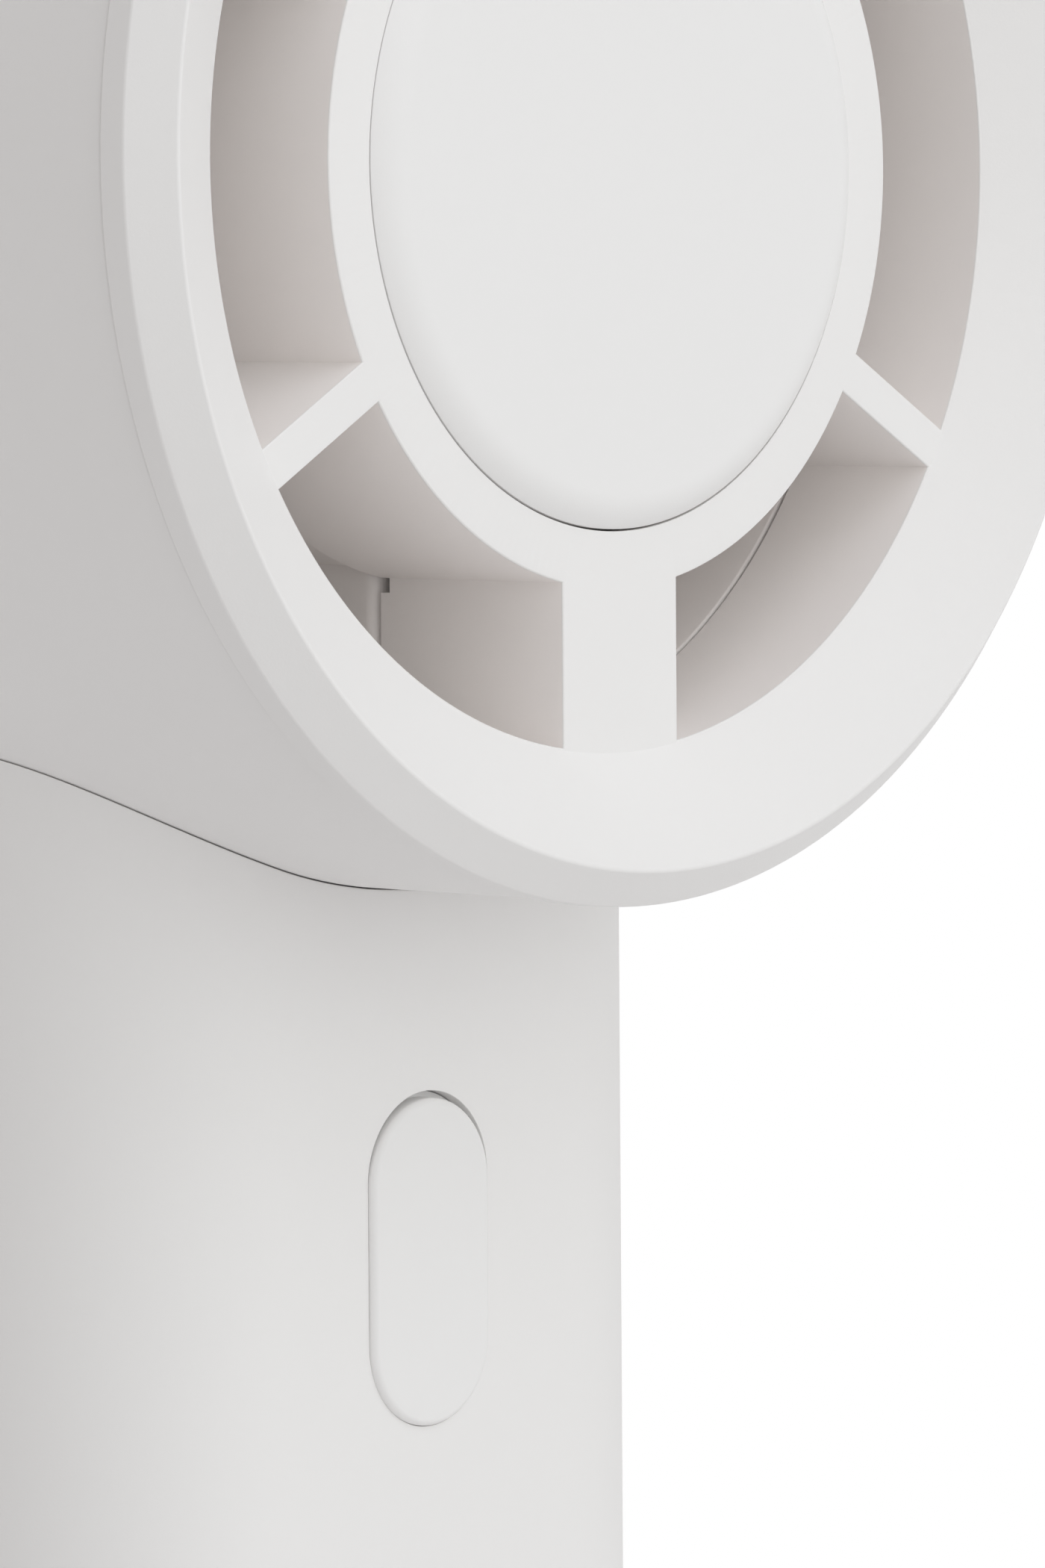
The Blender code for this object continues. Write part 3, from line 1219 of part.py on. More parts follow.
def make_port():
    frame = front_face(PORT_Z)
    shell = prism("port_shell", [stadium(PORT_WIDTH, PORT_HEIGHT, 8)], -PORT_MOUTH, -PORT_BACK, frame)
    pocket_floor = PORT_BACK + PORT_BACK_WALL
    pocket = prism(
        "port_pocket",
        [stadium(PORT_WIDTH - 2 * PORT_WALL, PORT_HEIGHT - 2 * PORT_WALL, 8)],
        -PORT_MOUTH - OVERRUN,
        -pocket_floor,
        frame,
    )
    cut(shell, pocket)
    publish(shell, "usb_c_shell", "steel")
    block_width = PORT_WIDTH - 2 * PORT_WALL - 2 * SLIP_GAP
    block_height = PORT_HEIGHT - 2 * PORT_WALL - 2 * SLIP_GAP
    foot = prism(
        "tongue_foot",
        [stadium(block_width, block_height, 8)],
        -pocket_floor - SLIP_GAP - TONGUE_BLOCK_LENGTH,
        -pocket_floor - SLIP_GAP,
        frame,
    )
    tongue = block(
        "tongue",
        (-TONGUE_WIDTH / 2, -TONGUE_THICKNESS / 2, TONGUE_SETBACK - PORT_MOUTH),
        (TONGUE_WIDTH / 2, TONGUE_THICKNESS / 2, -pocket_floor - TONGUE_BLOCK_LENGTH),
        frame,
    )
    join(foot, tongue)
    publish(foot, "usb_c_tongue", "black_plastic")


def make_lights():
    half = light_places()[-1] + PIPE_MARGIN
    led_y = PIPE_FRONT + PIPE_BAR / 2
    led_top = PARTS_BOTTOM + LED_HEIGHT
    for i, x in enumerate(light_places()):
        box_on_board(f"indicator_led_{i + 1}", x, led_y, LED_SIDE, LED_SIDE, LED_HEIGHT, "led_white")
    bar_top = LIGHT_HEIGHT + PIPE_BAR / 2
    bar_bottom = LIGHT_HEIGHT - PIPE_BAR / 2
    wall_inner = HANDLE_INNER_DEPTH / 2
    pipe = block("pipe", (-half, PIPE_FRONT, led_top + SEAT_GAP), (half, PIPE_FRONT + PIPE_BAR, bar_top))
    reach = block(
        "pipe_reach",
        (-half, led_y, bar_bottom),
        (half, wall_inner - SEAT_GAP, bar_top),
    )
    dots = [
        rod("dot", LIGHT_RADIUS, LIGHT_INSET - HANDLE_DEPTH / 2, -led_y, front_face(LIGHT_HEIGHT, x))
        for x in light_places()
    ]
    join(pipe, reach, *dots)
    publish(pipe, "light_pipe", "clear_plastic")


def post_spots():
    return [upright(side * NECK_SCREW_OFFSET, NECK_SCREW_BACKSET) for side in (-1, 1)]


def base_screw_spots():
    return [upright(side * BASE_SCREW_OFFSET, 0) for side in (-1, 1)]


def make_cell_frame():
    outline = [stadium(PLUG_WIDTH, PLUG_DEPTH)]
    frame = prism("frame_floor", outline, FRAME_FLOOR_BOTTOM, FRAME_FLOOR_TOP)
    top = prism("frame_top", outline, FRAME_TOP_BOTTOM, FRAME_TOP)
    strut_middle = CELL_SPACING / 2 + CELL_RADIUS + SEAT_GAP + STRUT_WALL / 2
    struts = [
        block(
            "strut",
            (side * strut_middle - STRUT_WALL / 2, -STRUT_WIDTH / 2, FRAME_FLOOR_BOTTOM + SLIP_GAP),
            (side * strut_middle + STRUT_WALL / 2, STRUT_WIDTH / 2, FRAME_TOP - SLIP_GAP),
        )
        for side in (-1, 1)
    ]
    posts = [rod("post", POST_RADIUS, FRAME_TOP - SLIP_GAP, POST_TOP, spot) for spot in post_spots()]
    post_pilots = [
        rod("post_pilot", SCREW_HOLE_RADIUS, NECK_SCREW_TIP - SEAT_GAP, POST_TOP + OVERRUN, spot)
        for spot in post_spots()
    ]
    boss_bottom = BASE_BOSS_TOP + SEAT_GAP
    pilot_top = BASE_SCREW_SEAT + BASE_SCREW_LENGTH + SEAT_GAP
    bosses = [
        rod("base_boss", BASE_BOSS_RADIUS, boss_bottom, FRAME_FLOOR_BOTTOM + SLIP_GAP, spot)
        for spot in base_screw_spots()
    ]
    base_pilots = [
        rod("base_pilot", SCREW_HOLE_RADIUS, boss_bottom - OVERRUN, pilot_top, spot)
        for spot in base_screw_spots()
    ]
    lead_holes = [
        rod(
            "lead_hole",
            LEAD_RADIUS + SEAT_GAP,
            FRAME_TOP_BOTTOM - OVERRUN,
            FRAME_TOP + OVERRUN,
            upright(0, side * LEAD_OFFSET),
        )
        for side in (-1, 1)
    ]
    join(frame, top, *struts, *posts, *bosses)
    cut(frame, *post_pilots, *base_pilots, *lead_holes)
    publish(frame, "cell_frame", "frame_grey")


def make_cells():
    for side, word in ((-1, "left"), (1, "right")):
        name = f"battery_cell_{word}"
        spot = upright(side * CELL_SPACING / 2, 0, CELL_TOP)
        top_edge = rounded_edge(CELL_RADIUS, 0, CELL_EDGE, CELL_EDGE)
        bottom_edge = [(radius, CELL_LENGTH - depth) for radius, depth in reversed(top_edge)]
        outline = [(0, 0), *top_edge, *bottom_edge, (0, CELL_LENGTH)]
        publish(turned(name, outline, spot, MIDDLE_FACETS), name, "cell_wrap")
    for name, start, side in (("bottom_strip", BOTTOM_STRIP_START, 1), ("top_strip", TOP_STRIP_START, -1)):
        tab_end = side * (LEAD_OFFSET + LEAD_RADIUS)
        strip = block(
            name,
            (-STRIP_LENGTH / 2, -STRIP_WIDTH / 2, start),
            (STRIP_LENGTH / 2, STRIP_WIDTH / 2, start + STRIP_THICKNESS),
        )
        tab = block(
            "strip_tab",
            (-STRIP_TAB_WIDTH / 2, min(0, tab_end), start),
            (STRIP_TAB_WIDTH / 2, max(0, tab_end), start + STRIP_THICKNESS),
        )
        join(strip, tab)
        publish(strip, name, "nickel")
    lead_top = MAIN_BOARD_BOTTOM - SLIP_GAP
    for name, start, side, finish in (
        ("negative_lead", BOTTOM_STRIP_START, 1, "wire_black"),
        ("positive_lead", TOP_STRIP_START, -1, "wire_red"),
    ):
        low = start + STRIP_THICKNESS + SLIP_GAP
        publish(rod(name, LEAD_RADIUS, low, lead_top, upright(0, side * LEAD_OFFSET)), name, finish)
    for word, side in (("front", -1), ("rear", 1)):
        middle = side * (CELL_RADIUS + HANDLE_INNER_DEPTH / 2) / 2
        name = f"foam_pad_{word}"
        pad = block(
            name,
            (-FOAM_WIDTH / 2, middle - FOAM_THICKNESS / 2, CELL_BOTTOM + FOAM_END_MARGIN),
            (FOAM_WIDTH / 2, middle + FOAM_THICKNESS / 2, CELL_TOP - FOAM_END_MARGIN),
        )
        publish(pad, name, "foam")


def make_base():
    plate = prism("base_plate", [stadium(HANDLE_WIDTH, HANDLE_DEPTH)], BASE_LIFT, BASE_PLATE_TOP)
    edges = plate.modifiers.new("edges", "BEVEL")
    edges.width = BASE_EDGE_RADIUS
    edges.segments = 3
    edges.limit_method = "WEIGHT"
    mark_low_edges(plate)
    plug = prism(
        "base_plug",
        [stadium(PLUG_WIDTH, PLUG_DEPTH), stadium(PLUG_WIDTH - 2 * NECK_WALL, PLUG_DEPTH - 2 * NECK_WALL)],
        BASE_PLATE_TOP - SLIP_GAP,
        BASE_PLATE_TOP + BASE_PLUG_HEIGHT,
    )
    pad_width = HANDLE_WIDTH - 2 * PAD_MARGIN
    pad_depth = HANDLE_DEPTH - 2 * PAD_MARGIN
    recess_outline = stadium(pad_width + 2 * SEAM_GAP, pad_depth + 2 * SEAM_GAP)
    recess = prism("pad_recess", [recess_outline], -OVERRUN, PAD_THICKNESS + SEAM_GAP)
    bosses = [
        rod("cap_boss", BASE_BOSS_RADIUS, BASE_PLATE_TOP - SEAT_GAP, BASE_BOSS_TOP, spot)
        for spot in base_screw_spots()
    ]
    counterbores = [
        rod("cap_counterbore", SCREW_HEAD_RADIUS + SLIP_GAP, 0, BASE_SCREW_SEAT, spot)
        for spot in base_screw_spots()
    ]
    holes = [
        rod("cap_hole", SCREW_HOLE_RADIUS, 0, BASE_BOSS_TOP + OVERRUN, spot)
        for spot in base_screw_spots()
    ]
    join(plate, plug, *bosses)
    cut(plate, recess, *counterbores, *holes)
    publish(plate, "base_cap", "shell_white")
    pad = prism("base_pad", [stadium(pad_width, pad_depth)], 0, PAD_THICKNESS)
    publish(pad, "base_pad", "pad_grey")
    for spot, word in zip(base_screw_spots(), ("left", "right")):
        seat = spot @ Matrix.Translation((0, 0, BASE_SCREW_SEAT))
        screw(f"base_screw_{word}", seat, BASE_SCREW_LENGTH, flip=True)


def mark_low_edges(item):
    """Gives the outline of the lowest face a full bevel weight."""
    mesh = item.data
    lowest = min(vertex.co.z for vertex in mesh.vertices)
    shape = bmesh.new()
    shape.from_mesh(mesh)
    weight = shape.edges.layers.float.new("bevel_weight_edge")
    for edge in shape.edges:
        low = all(vertex.co.z < lowest + WELD_DISTANCE for vertex in edge.verts)
        if low and edge.calc_face_angle() > QUARTER / 2:
            edge[weight] = 1
    shape.to_mesh(mesh)
    shape.free()


clear_scene()
PIECES = make_collection("power_bank_fan")
HELPERS = make_collection("cutters")
MATERIALS = make_materials()
make_front_grille()
make_hub_cap()
make_fan_duct()
make_head_shell()
make_rear_cover()
make_impeller()
make_motor()
make_motor_cable()
make_head_screws()
make_handle_shell()
make_power_button()
make_switch()
make_main_board()
make_port()
make_lights()
make_cell_frame()
make_cells()
make_base()
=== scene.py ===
import math

import bmesh
import bpy
from mathutils import Matrix, Vector


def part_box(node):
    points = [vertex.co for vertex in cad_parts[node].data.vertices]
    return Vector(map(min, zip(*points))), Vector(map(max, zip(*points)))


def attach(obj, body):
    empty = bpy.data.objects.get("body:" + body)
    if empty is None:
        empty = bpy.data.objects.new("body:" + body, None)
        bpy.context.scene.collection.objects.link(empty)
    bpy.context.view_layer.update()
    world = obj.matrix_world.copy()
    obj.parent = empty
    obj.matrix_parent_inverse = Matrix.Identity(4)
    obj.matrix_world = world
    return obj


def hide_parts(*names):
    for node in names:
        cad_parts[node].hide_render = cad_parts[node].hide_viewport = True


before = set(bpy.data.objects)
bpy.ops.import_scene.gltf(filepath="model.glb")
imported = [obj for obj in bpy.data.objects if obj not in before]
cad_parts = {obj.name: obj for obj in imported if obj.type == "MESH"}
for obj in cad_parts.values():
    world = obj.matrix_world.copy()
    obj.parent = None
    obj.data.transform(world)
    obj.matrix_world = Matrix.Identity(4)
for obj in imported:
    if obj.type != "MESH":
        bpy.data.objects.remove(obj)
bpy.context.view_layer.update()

# A hand fan with a power bank in its handle, in metres, +Z up, with its front towards -Y. Places in the head are
# depths behind the window plane, which is the front face of the spokes, and radii from the head's axis.
MM = 0.001
TURN = math.radians(360)
QUARTER = math.radians(90)
DOWN = math.radians(-90)

# Facets
HEAD_STEPS = 240
ROD_STEPS = 40
ROD_TURN = 0.37
ARC_STEPS = 5
END_STEPS = 48
SIDE_STEPS = 40
PORT_STEPS = 24
SHARP_ANGLE = math.radians(28)

# Clearances and small edges
OVERRUN = 1 * MM
SEAM = 0.15 * MM
EDGE = 0.12 * MM
FINE_EDGE = 0.05 * MM
SOFT_EDGE = 0.2 * MM
WELD = 0.002 * MM

# Head
HEAD_AXIS = 158 * MM
WINDOW_PLANE = -28.8 * MM
BARREL_RADIUS = 41.45 * MM
BARREL_INNER = 39.45 * MM
BARREL_START = -0.15 * MM
BARREL_END = 44.15 * MM
RING_CREST = 39.6 * MM
RING_RIM = 41.7 * MM
SKIRT_RADIUS = 39.15 * MM
SKIRT_INNER = 37.85 * MM
WINDOW_RADIUS = 33 * MM
DUCT_RADIUS = 34.8 * MM
HUB_RADIUS = 23.84 * MM
THIN_SPOKE = 2.5 * MM
WIDE_SPOKE = 9.8 * MM
SPOKE_BACK = 13.9 * MM
SPOKES = 6
SPOKE_ANGLES = [DOWN + TURN * i / SPOKES for i in range(SPOKES)]
GRID_RIBS = 12
GRID_RINGS = 5
GRID_RIB_WIDTH = 1.8 * MM
GRID_RING_WIDTH = 1.5 * MM
GRILLE_SCREW_ANGLES = [QUARTER + TURN * i / 3 for i in range(3)]
GRILLE_SCREW_CIRCLE = 12 * MM
DUCT_SCREW_ANGLES = [QUARTER / 2 + TURN * i / 4 for i in range(4)]
DUCT_SCREW_CIRCLE = 37.5 * MM
SCREW_HOLE = 1.1 * MM
NECK_SCREW_OFFSET = 13 * MM
NECK_SCREW_BACKSET = 1 * MM

# Handle
HANDLE_WIDTH = 51.5 * MM
HANDLE_DEPTH = 27.3 * MM
HANDLE_WALL = 1.8 * MM
HANDLE_BOTTOM = 3.15 * MM
PLUG_WIDTH = 47.3 * MM
PLUG_DEPTH = 23.1 * MM
PLUG_WALL = 1.6 * MM
BUTTON_HEIGHT = 94.9 * MM
BUTTON_SHIFT = 0.11 * MM
PORT_HEIGHT = 85.23 * MM
PORT_WIDTH = 8.94 * MM
PORT_DEPTH = 3.26 * MM
LIGHT_HEIGHT = 96.6 * MM
LIGHT_PLACES = [(i - 1.5) * 4 * MM for i in range(4)]


def make_object(name, shape):
    """Links a bmesh as an object and frees it."""
    bmesh.ops.recalc_face_normals(shape, faces=shape.faces)
    mesh = bpy.data.meshes.new(name)
    shape.to_mesh(mesh)
    shape.free()
    made = bpy.data.objects.new(name, mesh)
    bpy.context.scene.collection.objects.link(made)
    return made


def loft(name, loops, closed=False):
    """Skins loops of equal length; an open row of loops gets flat caps, a closed one joins up."""
    shape = bmesh.new()
    rings = [[shape.verts.new(point) for point in loop] for loop in loops]
    pairs = list(zip(rings, rings[1:]))
    if closed:
        pairs.append((rings[-1], rings[0]))
    else:
        shape.faces.new(rings[0])
        shape.faces.new(rings[-1])
    for first, second in pairs:
        for i in range(len(first)):
            j = (i + 1) % len(first)
            shape.faces.new((first[i], first[j], second[j], second[i]))
    return make_object(name, shape)


def settle(piece):
    """Replaces a piece's mesh by what its modifiers make of it."""
    graph = bpy.context.evaluated_depsgraph_get()
    mesh = bpy.data.meshes.new_from_object(piece.evaluated_get(graph))
    old = piece.data
    piece.modifiers.clear()
    piece.data = mesh
    bpy.data.meshes.remove(old)


def split_faces(piece):
    """Triangles are flat, which the boolean steps need, and points almost on each other become one."""
    shape = bmesh.new()
    shape.from_mesh(piece.data)
    bmesh.ops.remove_doubles(shape, verts=shape.verts, dist=WELD)
    bmesh.ops.triangulate(shape, faces=shape.faces)
    shape.to_mesh(piece.data)
    shape.free()


def combine(operation, target, tools):
    """Works the tools on the target one after another, and uses them up."""
    for tool in tools:
        split_faces(target)
        split_faces(tool)
        step = target.modifiers.new("step", "BOOLEAN")
        step.operation = operation
        step.solver = "EXACT"
        step.object = tool
        settle(target)
        bpy.data.objects.remove(tool)


def union(target, *tools):
    combine("UNION", target, tools)


def cut(target, *tools):
    combine("DIFFERENCE", target, tools)


def gather(name, parts):
    """One object that holds several shapes which don't touch."""
    shape = bmesh.new()
    for part in parts:
        shape.from_mesh(part.data)
        bpy.data.objects.remove(part)
    return make_object(name, shape)


def rounded(corners, closed=True, steps=ARC_STEPS):
    """Corners are (a, b) or (a, b, radius); each corner with a radius becomes an arc."""
    points = []
    count = len(corners)
    for i, corner in enumerate(corners):
        here = Vector(corner[:2])
        radius = corner[2] if len(corner) > 2 else 0
        if not radius or (not closed and i in (0, count - 1)):
            points.append(tuple(here))
            continue
        back = (Vector(corners[i - 1][:2]) - here).normalized()
        on = (Vector(corners[(i + 1) % count][:2]) - here).normalized()
        half = back.angle(on) / 2
        centre = here + (back + on).normalized() * radius / math.sin(half)
        first = here + back * radius / math.tan(half) - centre
        last = here + on * radius / math.tan(half) - centre
        span = first.angle(last)
        for k in range(steps + 1):
            a = math.sin(span * (1 - k / steps))
            b = math.sin(span * k / steps)
            points.append(tuple(centre + (first * a + last * b) / math.sin(span)))
    return points


def head_point(radius, angle, depth):
    """A point from its radius and angle round the head's axis, and its depth."""
    return (radius * math.cos(angle), WINDOW_PLANE + depth, HEAD_AXIS + radius * math.sin(angle))


def turned(name, corners, solid=False):
    """Turns a (radius, depth) outline about the head's axis. A solid's outline runs from the axis to the axis."""
    outline = rounded(corners, closed=not solid)
    loops = [[head_point(r, TURN * i / HEAD_STEPS, d) for i in range(HEAD_STEPS)] for r, d in outline]
    return loft(name, loops, closed=not solid)


def rod(name, radius, start, end, place):
    """A cylinder on the place's Z axis."""
    loops = [[place @ Vector((a, b, z)) for a, b in circle(radius)] for z in (start, end)]
    return loft(name, loops)


def circle(radius):
    """A round outline, turned by part of a facet so that its corners meet no other piece's."""
    angles = [TURN * (i + ROD_TURN) / ROD_STEPS for i in range(ROD_STEPS)]
    return [(radius * math.cos(angle), radius * math.sin(angle)) for angle in angles]


def box(name, low, high):
    """A square-edged block between two corners."""
    loops = [[(x, y, z) for x, y in ((low[0], low[1]), (high[0], low[1]), (high[0], high[1]), (low[0], high[1]))]
             for z in (low[2], high[2])]
    return loft(name, loops)


def head_place(radius, angle):
    """Z runs back along the head's axis from the window plane."""
    x, y, z = head_point(radius, angle, 0)
    return Matrix.Translation((x, y, z)) @ Matrix.Rotation(-QUARTER, 4, "X")


def stadium(width, depth, ends=END_STEPS, sides=SIDE_STEPS):
    """A closed outline, wider than deep, with half-round ends and divided straight sides."""
    radius = depth / 2
    reach = (width - depth) / 2
    points = []
    for side in (1, -1):
        for i in range(ends):
            angle = -side * QUARTER + 2 * QUARTER * i / ends
            points.append((side * reach + radius * math.cos(angle), radius * math.sin(angle)))
        for i in range(sides):
            points.append((side * reach * (1 - 2 * i / sides), side * radius))
    return points


def upright_stadium(width, height, ends=END_STEPS):
    """A closed outline, taller than wide, with half-round ends."""
    return [(-y, x) for x, y in stadium(height, width, ends, 1)]


def facing(points, y, height, x=0):
    """Puts (across, up) points on a plane that faces the front or the back."""
    return [(x + a, y, height + b) for a, b in points]


def quarter_turn(radius, steps):
    """(inset, drop) pairs of a rounded edge, from its foot to its crest."""
    angles = [QUARTER * k / steps for k in range(steps + 1)]
    return [(radius * (1 - math.sin(angle)), radius * (1 - math.cos(angle))) for angle in angles]


def flare(outline_at, surface, inner, outward, edge):
    """A cutter through a flat wall whose rim the wall keeps rounded. outline_at(offset) is the grown outline."""
    loops = [outline_at(edge, surface + outward * OVERRUN)]
    loops += [outline_at(inset, surface - outward * drop) for inset, drop in quarter_turn(edge, ARC_STEPS)]
    loops.append(outline_at(0, inner))
    return loft("flare", loops)


def dress(piece, body, nodes, finish):
    """Smooth shading, a finish, and the CAD nodes that the piece stands for."""
    piece.data.polygons.foreach_set("use_smooth", [True] * len(piece.data.polygons))
    piece.data.set_sharp_from_angle(angle=SHARP_ANGLE)
    weigh = piece.modifiers.new("weigh", "WEIGHTED_NORMAL")
    weigh.keep_sharp = True
    weigh.weight = 100
    settle(piece)
    piece.data.materials.clear()
    piece.data.materials.append(finish)
    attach(piece, body)
    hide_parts(*nodes)
    return piece


# ---------------------------------------------------------------- finishes


class Field:
    """A shader socket that takes part in Python sums; each sum adds a Math node."""

    def __init__(self, graph, socket):
        self.graph = graph
        self.socket = socket

    def __add__(self, other):
        return self.graph.sum("ADD", self, other)

    def __radd__(self, other):
        return self.graph.sum("ADD", other, self)

    def __sub__(self, other):
        return self.graph.sum("SUBTRACT", self, other)

    def __rsub__(self, other):
        return self.graph.sum("SUBTRACT", other, self)

    def __mul__(self, other):
        return self.graph.sum("MULTIPLY", self, other)

    def __rmul__(self, other):
        return self.graph.sum("MULTIPLY", other, self)

    def __pow__(self, other):
        return self.graph.sum("POWER", self, other)

    def __gt__(self, other):
        return self.graph.sum("GREATER_THAN", self, other)

    def __lt__(self, other):
        return self.graph.sum("LESS_THAN", self, other)

    def __abs__(self):
        return self.graph.sum("ABSOLUTE", self, 0)

    def output(self, name):
        """Another output of the same node."""
        return Field(self.graph, self.socket.node.outputs[name])


class Graph:
    """A node tree with one way to add a node."""

    def __init__(self, tree):
        self.tree = tree

    def feed(self, socket, value):
        if isinstance(value, Field):
            self.tree.links.new(value.socket, socket)
        else:
            socket.default_value = value

    def node(self, kind, settings=None, inputs=None, output=0):
        made = self.tree.nodes.new("ShaderNode" + kind)
        for key, value in (settings or {}).items():
            setattr(made, key, value)
        for key, value in (inputs or {}).items():
            self.feed(made.inputs[key], value)
        return Field(self, made.outputs[output]) if made.outputs else None

    def sum(self, operation, left, right):
        return self.node("Math", {"operation": operation}, {0: left, 1: right})

    def mix(self, share, first, second):
        return self.node("Mix", {"data_type": "RGBA"}, {0: share, 6: first, 7: second}, 2)

    def seen_directly(self):
        """1 for rays that show the backdrop: from the camera, in a gloss or through glass."""
        camera = self.node("LightPath")
        gloss = self.sum("MAXIMUM", camera, camera.output("Is Glossy Ray"))
        return self.sum("MAXIMUM", gloss, camera.output("Is Transmission Ray"))


class Finish(Graph):
    """One material of the fan."""

    def __init__(self, name, **constants):
        self.material = bpy.data.materials.new(name)
        self.material.use_nodes = True
        super().__init__(self.material.node_tree)
        self.shader = self.tree.nodes["Principled BSDF"]
        self.set(**constants)

    def set(self, **values):
        for key, value in values.items():
            self.feed(self.shader.inputs[key.replace("_", " ")], value)

    def places(self):
        """Where a point is, in the frame that all pieces share."""
        return self.node("TexCoord", output=3)

    def axes(self):
        across = self.node("SeparateXYZ", None, {0: self.places()})
        return across, across.output("Y"), across.output("Z")

    def noise(self, size, detail=2.0, roughness=0.5, stretch=None):
        """Noise whose grains are about size metres across."""
        where = self.places()
        if stretch:
            where = self.node("Mapping", None, {"Vector": where, "Scale": stretch})
        values = {"Vector": where, "Scale": 1 / size, "Detail": detail, "Roughness": roughness}
        return self.node("TexNoise", None, values)

    def bump(self, height, depth):
        self.set(Normal=self.node("Bump", None, {"Height": height, "Distance": depth}))


def shade(colour, share):
    """A colour made darker or lighter, with full alpha."""
    return (*[channel * share for channel in colour], 1)


SHELL_ROUGHNESS = 0.52
SHELL_GRAIN = 0.17 * MM
SHELL_GRAIN_DEPTH = 0.006 * MM
SHELL_MOTTLE = 0.012
FLOW_SIZE = 9 * MM


def moulded_skin(finish, colour, roughness, grain, mottle):
    """Sets a spark-eroded grain's roughness. Gives the mottled colour and the grain."""
    flow = finish.noise(FLOW_SIZE, 3.0)
    fine = finish.noise(grain, 2.0, 0.6)
    share = flow * 0.7 + fine * 0.3
    finish.set(Roughness=roughness - 0.06 + fine * 0.12)
    return finish.mix(share, shade(colour, 1 - mottle), shade(colour, 1 + mottle)), fine


def moulded(name, colour, roughness, grain=SHELL_GRAIN, depth=SHELL_GRAIN_DEPTH, mottle=SHELL_MOTTLE):
    """Injection-moulded plastic with a fine grain and a faint flow mottle."""
    finish = Finish(name)
    colours, fine = moulded_skin(finish, colour, roughness, grain, mottle)
    finish.set(Base_Color=colours)
    finish.bump(fine, depth)
    return finish.material


def grille_plastic(name, outside, painted_bounce_colour):
    """The grille's face has the shell's grain. Behind the window plane the grain is weaker and the colour is painted
    lighter and warmer, as painted bounce light.
    """
    finish = Finish(name)
    across, back, up = finish.axes()
    radius = (across ** 2 + (up - HEAD_AXIS) ** 2) ** 0.5
    # Mask of the surfaces behind the window plane, which get the painted bounce light.
    painted_bounce_mask = (back > WINDOW_PLANE + EDGE) * (radius < WINDOW_RADIUS + EDGE)
    face, fine = moulded_skin(finish, outside, SHELL_ROUGHNESS, SHELL_GRAIN, SHELL_MOTTLE)
    finish.set(Base_Color=finish.mix(painted_bounce_mask, face, shade(painted_bounce_colour, 1)))
    finish.bump(fine * (1 - painted_bounce_mask * 0.7), SHELL_GRAIN_DEPTH)
    return finish.material


def metal(name, colour, roughness, stretch=(1, 1, 1), scratch=0.05 * MM):
    """Turned or rolled metal with fine marks along one direction."""
    finish = Finish(name, Metallic=1.0)
    marks = finish.noise(scratch, 3.0, 0.6, stretch)
    stains = finish.noise(2.5 * MM, 2.0)
    colours = finish.mix(stains, shade(colour, 0.9), shade(colour, 1.08))
    finish.set(Base_Color=colours, Roughness=roughness - 0.1 + marks * 0.2)
    finish.bump(marks, 0.002 * MM)
    return finish.material


def dull(name, colour, roughness, grain, depth, spread=0.08):
    """A plain non-metal finish: resin, ferrite, foam, rubber or wire sleeve."""
    finish = Finish(name)
    fine = finish.noise(grain, 3.0, 0.6)
    broad = finish.noise(grain * 18, 2.0)
    colours = finish.mix(fine * 0.6 + broad * 0.4, shade(colour, 1 - spread), shade(colour, 1 + spread))
    finish.set(Base_Color=colours, Roughness=roughness - 0.05 + fine * 0.1)
    finish.bump(fine, depth)
    return finish.material


def circuit_board(name):
    """Solder mask over traces: raised lines from a brick pattern, and a faint glass weave."""
    finish = Finish(name)
    trace_pitch, mask, trace = 2.6 * MM, (0.012, 0.13, 0.055, 1), (0.03, 0.24, 0.11, 1)
    where = finish.node("Mapping", None, {"Vector": finish.places(), "Rotation": (0.7, 0.4, 0.8)})
    traces = finish.node("TexBrick", {"offset": 0.5, "squash": 0.7}, {
        "Vector": where, "Scale": 1 / trace_pitch, "Mortar Size": 0.03,
        "Color1": (0, 0, 0, 1), "Color2": (0, 0, 0, 1), "Mortar": (1, 1, 1, 1)}, 1)
    weave = finish.noise(0.3 * MM, 1.0)
    finish.set(Base_Color=finish.mix(traces * 0.7 + weave * 0.3, mask, trace), Roughness=0.36 + weave * 0.12)
    finish.bump(traces, 0.02 * MM)
    return finish.material


def winding(name):
    """Enamelled copper wire laid in close turns, with painted shade between the turns."""
    finish = Finish(name, Metallic=1.0, Coat_Weight=0.4)
    # The dark colour is painted shade between the turns; the bright one is the copper.
    turn_scale, groove_shadow, crest = 1.1 * MM, (0.22, 0.07, 0.02, 1), (0.78, 0.36, 0.15, 1)
    turns = finish.node("TexWave", {"bands_direction": "DIAGONAL"}, {
        "Vector": finish.places(), "Scale": 1 / turn_scale, "Distortion": 0.6, "Detail": 1.0}, 1)
    stains = finish.noise(1.2 * MM, 2.0)
    colours = finish.mix(turns * 0.8 + stains * 0.2, groove_shadow, crest)
    finish.set(Base_Color=colours, Roughness=0.26 + stains * 0.16)
    finish.bump(turns, 0.09 * MM)
    return finish.material


def laminations(name):
    """A stack of thin steel sheets, seen as lines across the head's axis."""
    finish = Finish(name, Metallic=1.0)
    sheet_scale, joint, sheet = 1.6 * MM, (0.12, 0.12, 0.13, 1), (0.42, 0.43, 0.45, 1)
    sheets = finish.node("TexWave", {"bands_direction": "Y"}, {
        "Vector": finish.places(), "Scale": 1 / sheet_scale}, 1)
    stains = finish.noise(1.5 * MM, 3.0)
    finish.set(Base_Color=finish.mix(sheets * 0.7 + stains * 0.3, joint, sheet), Roughness=0.38 + stains * 0.2)
    finish.bump(sheets, 0.05 * MM)
    return finish.material


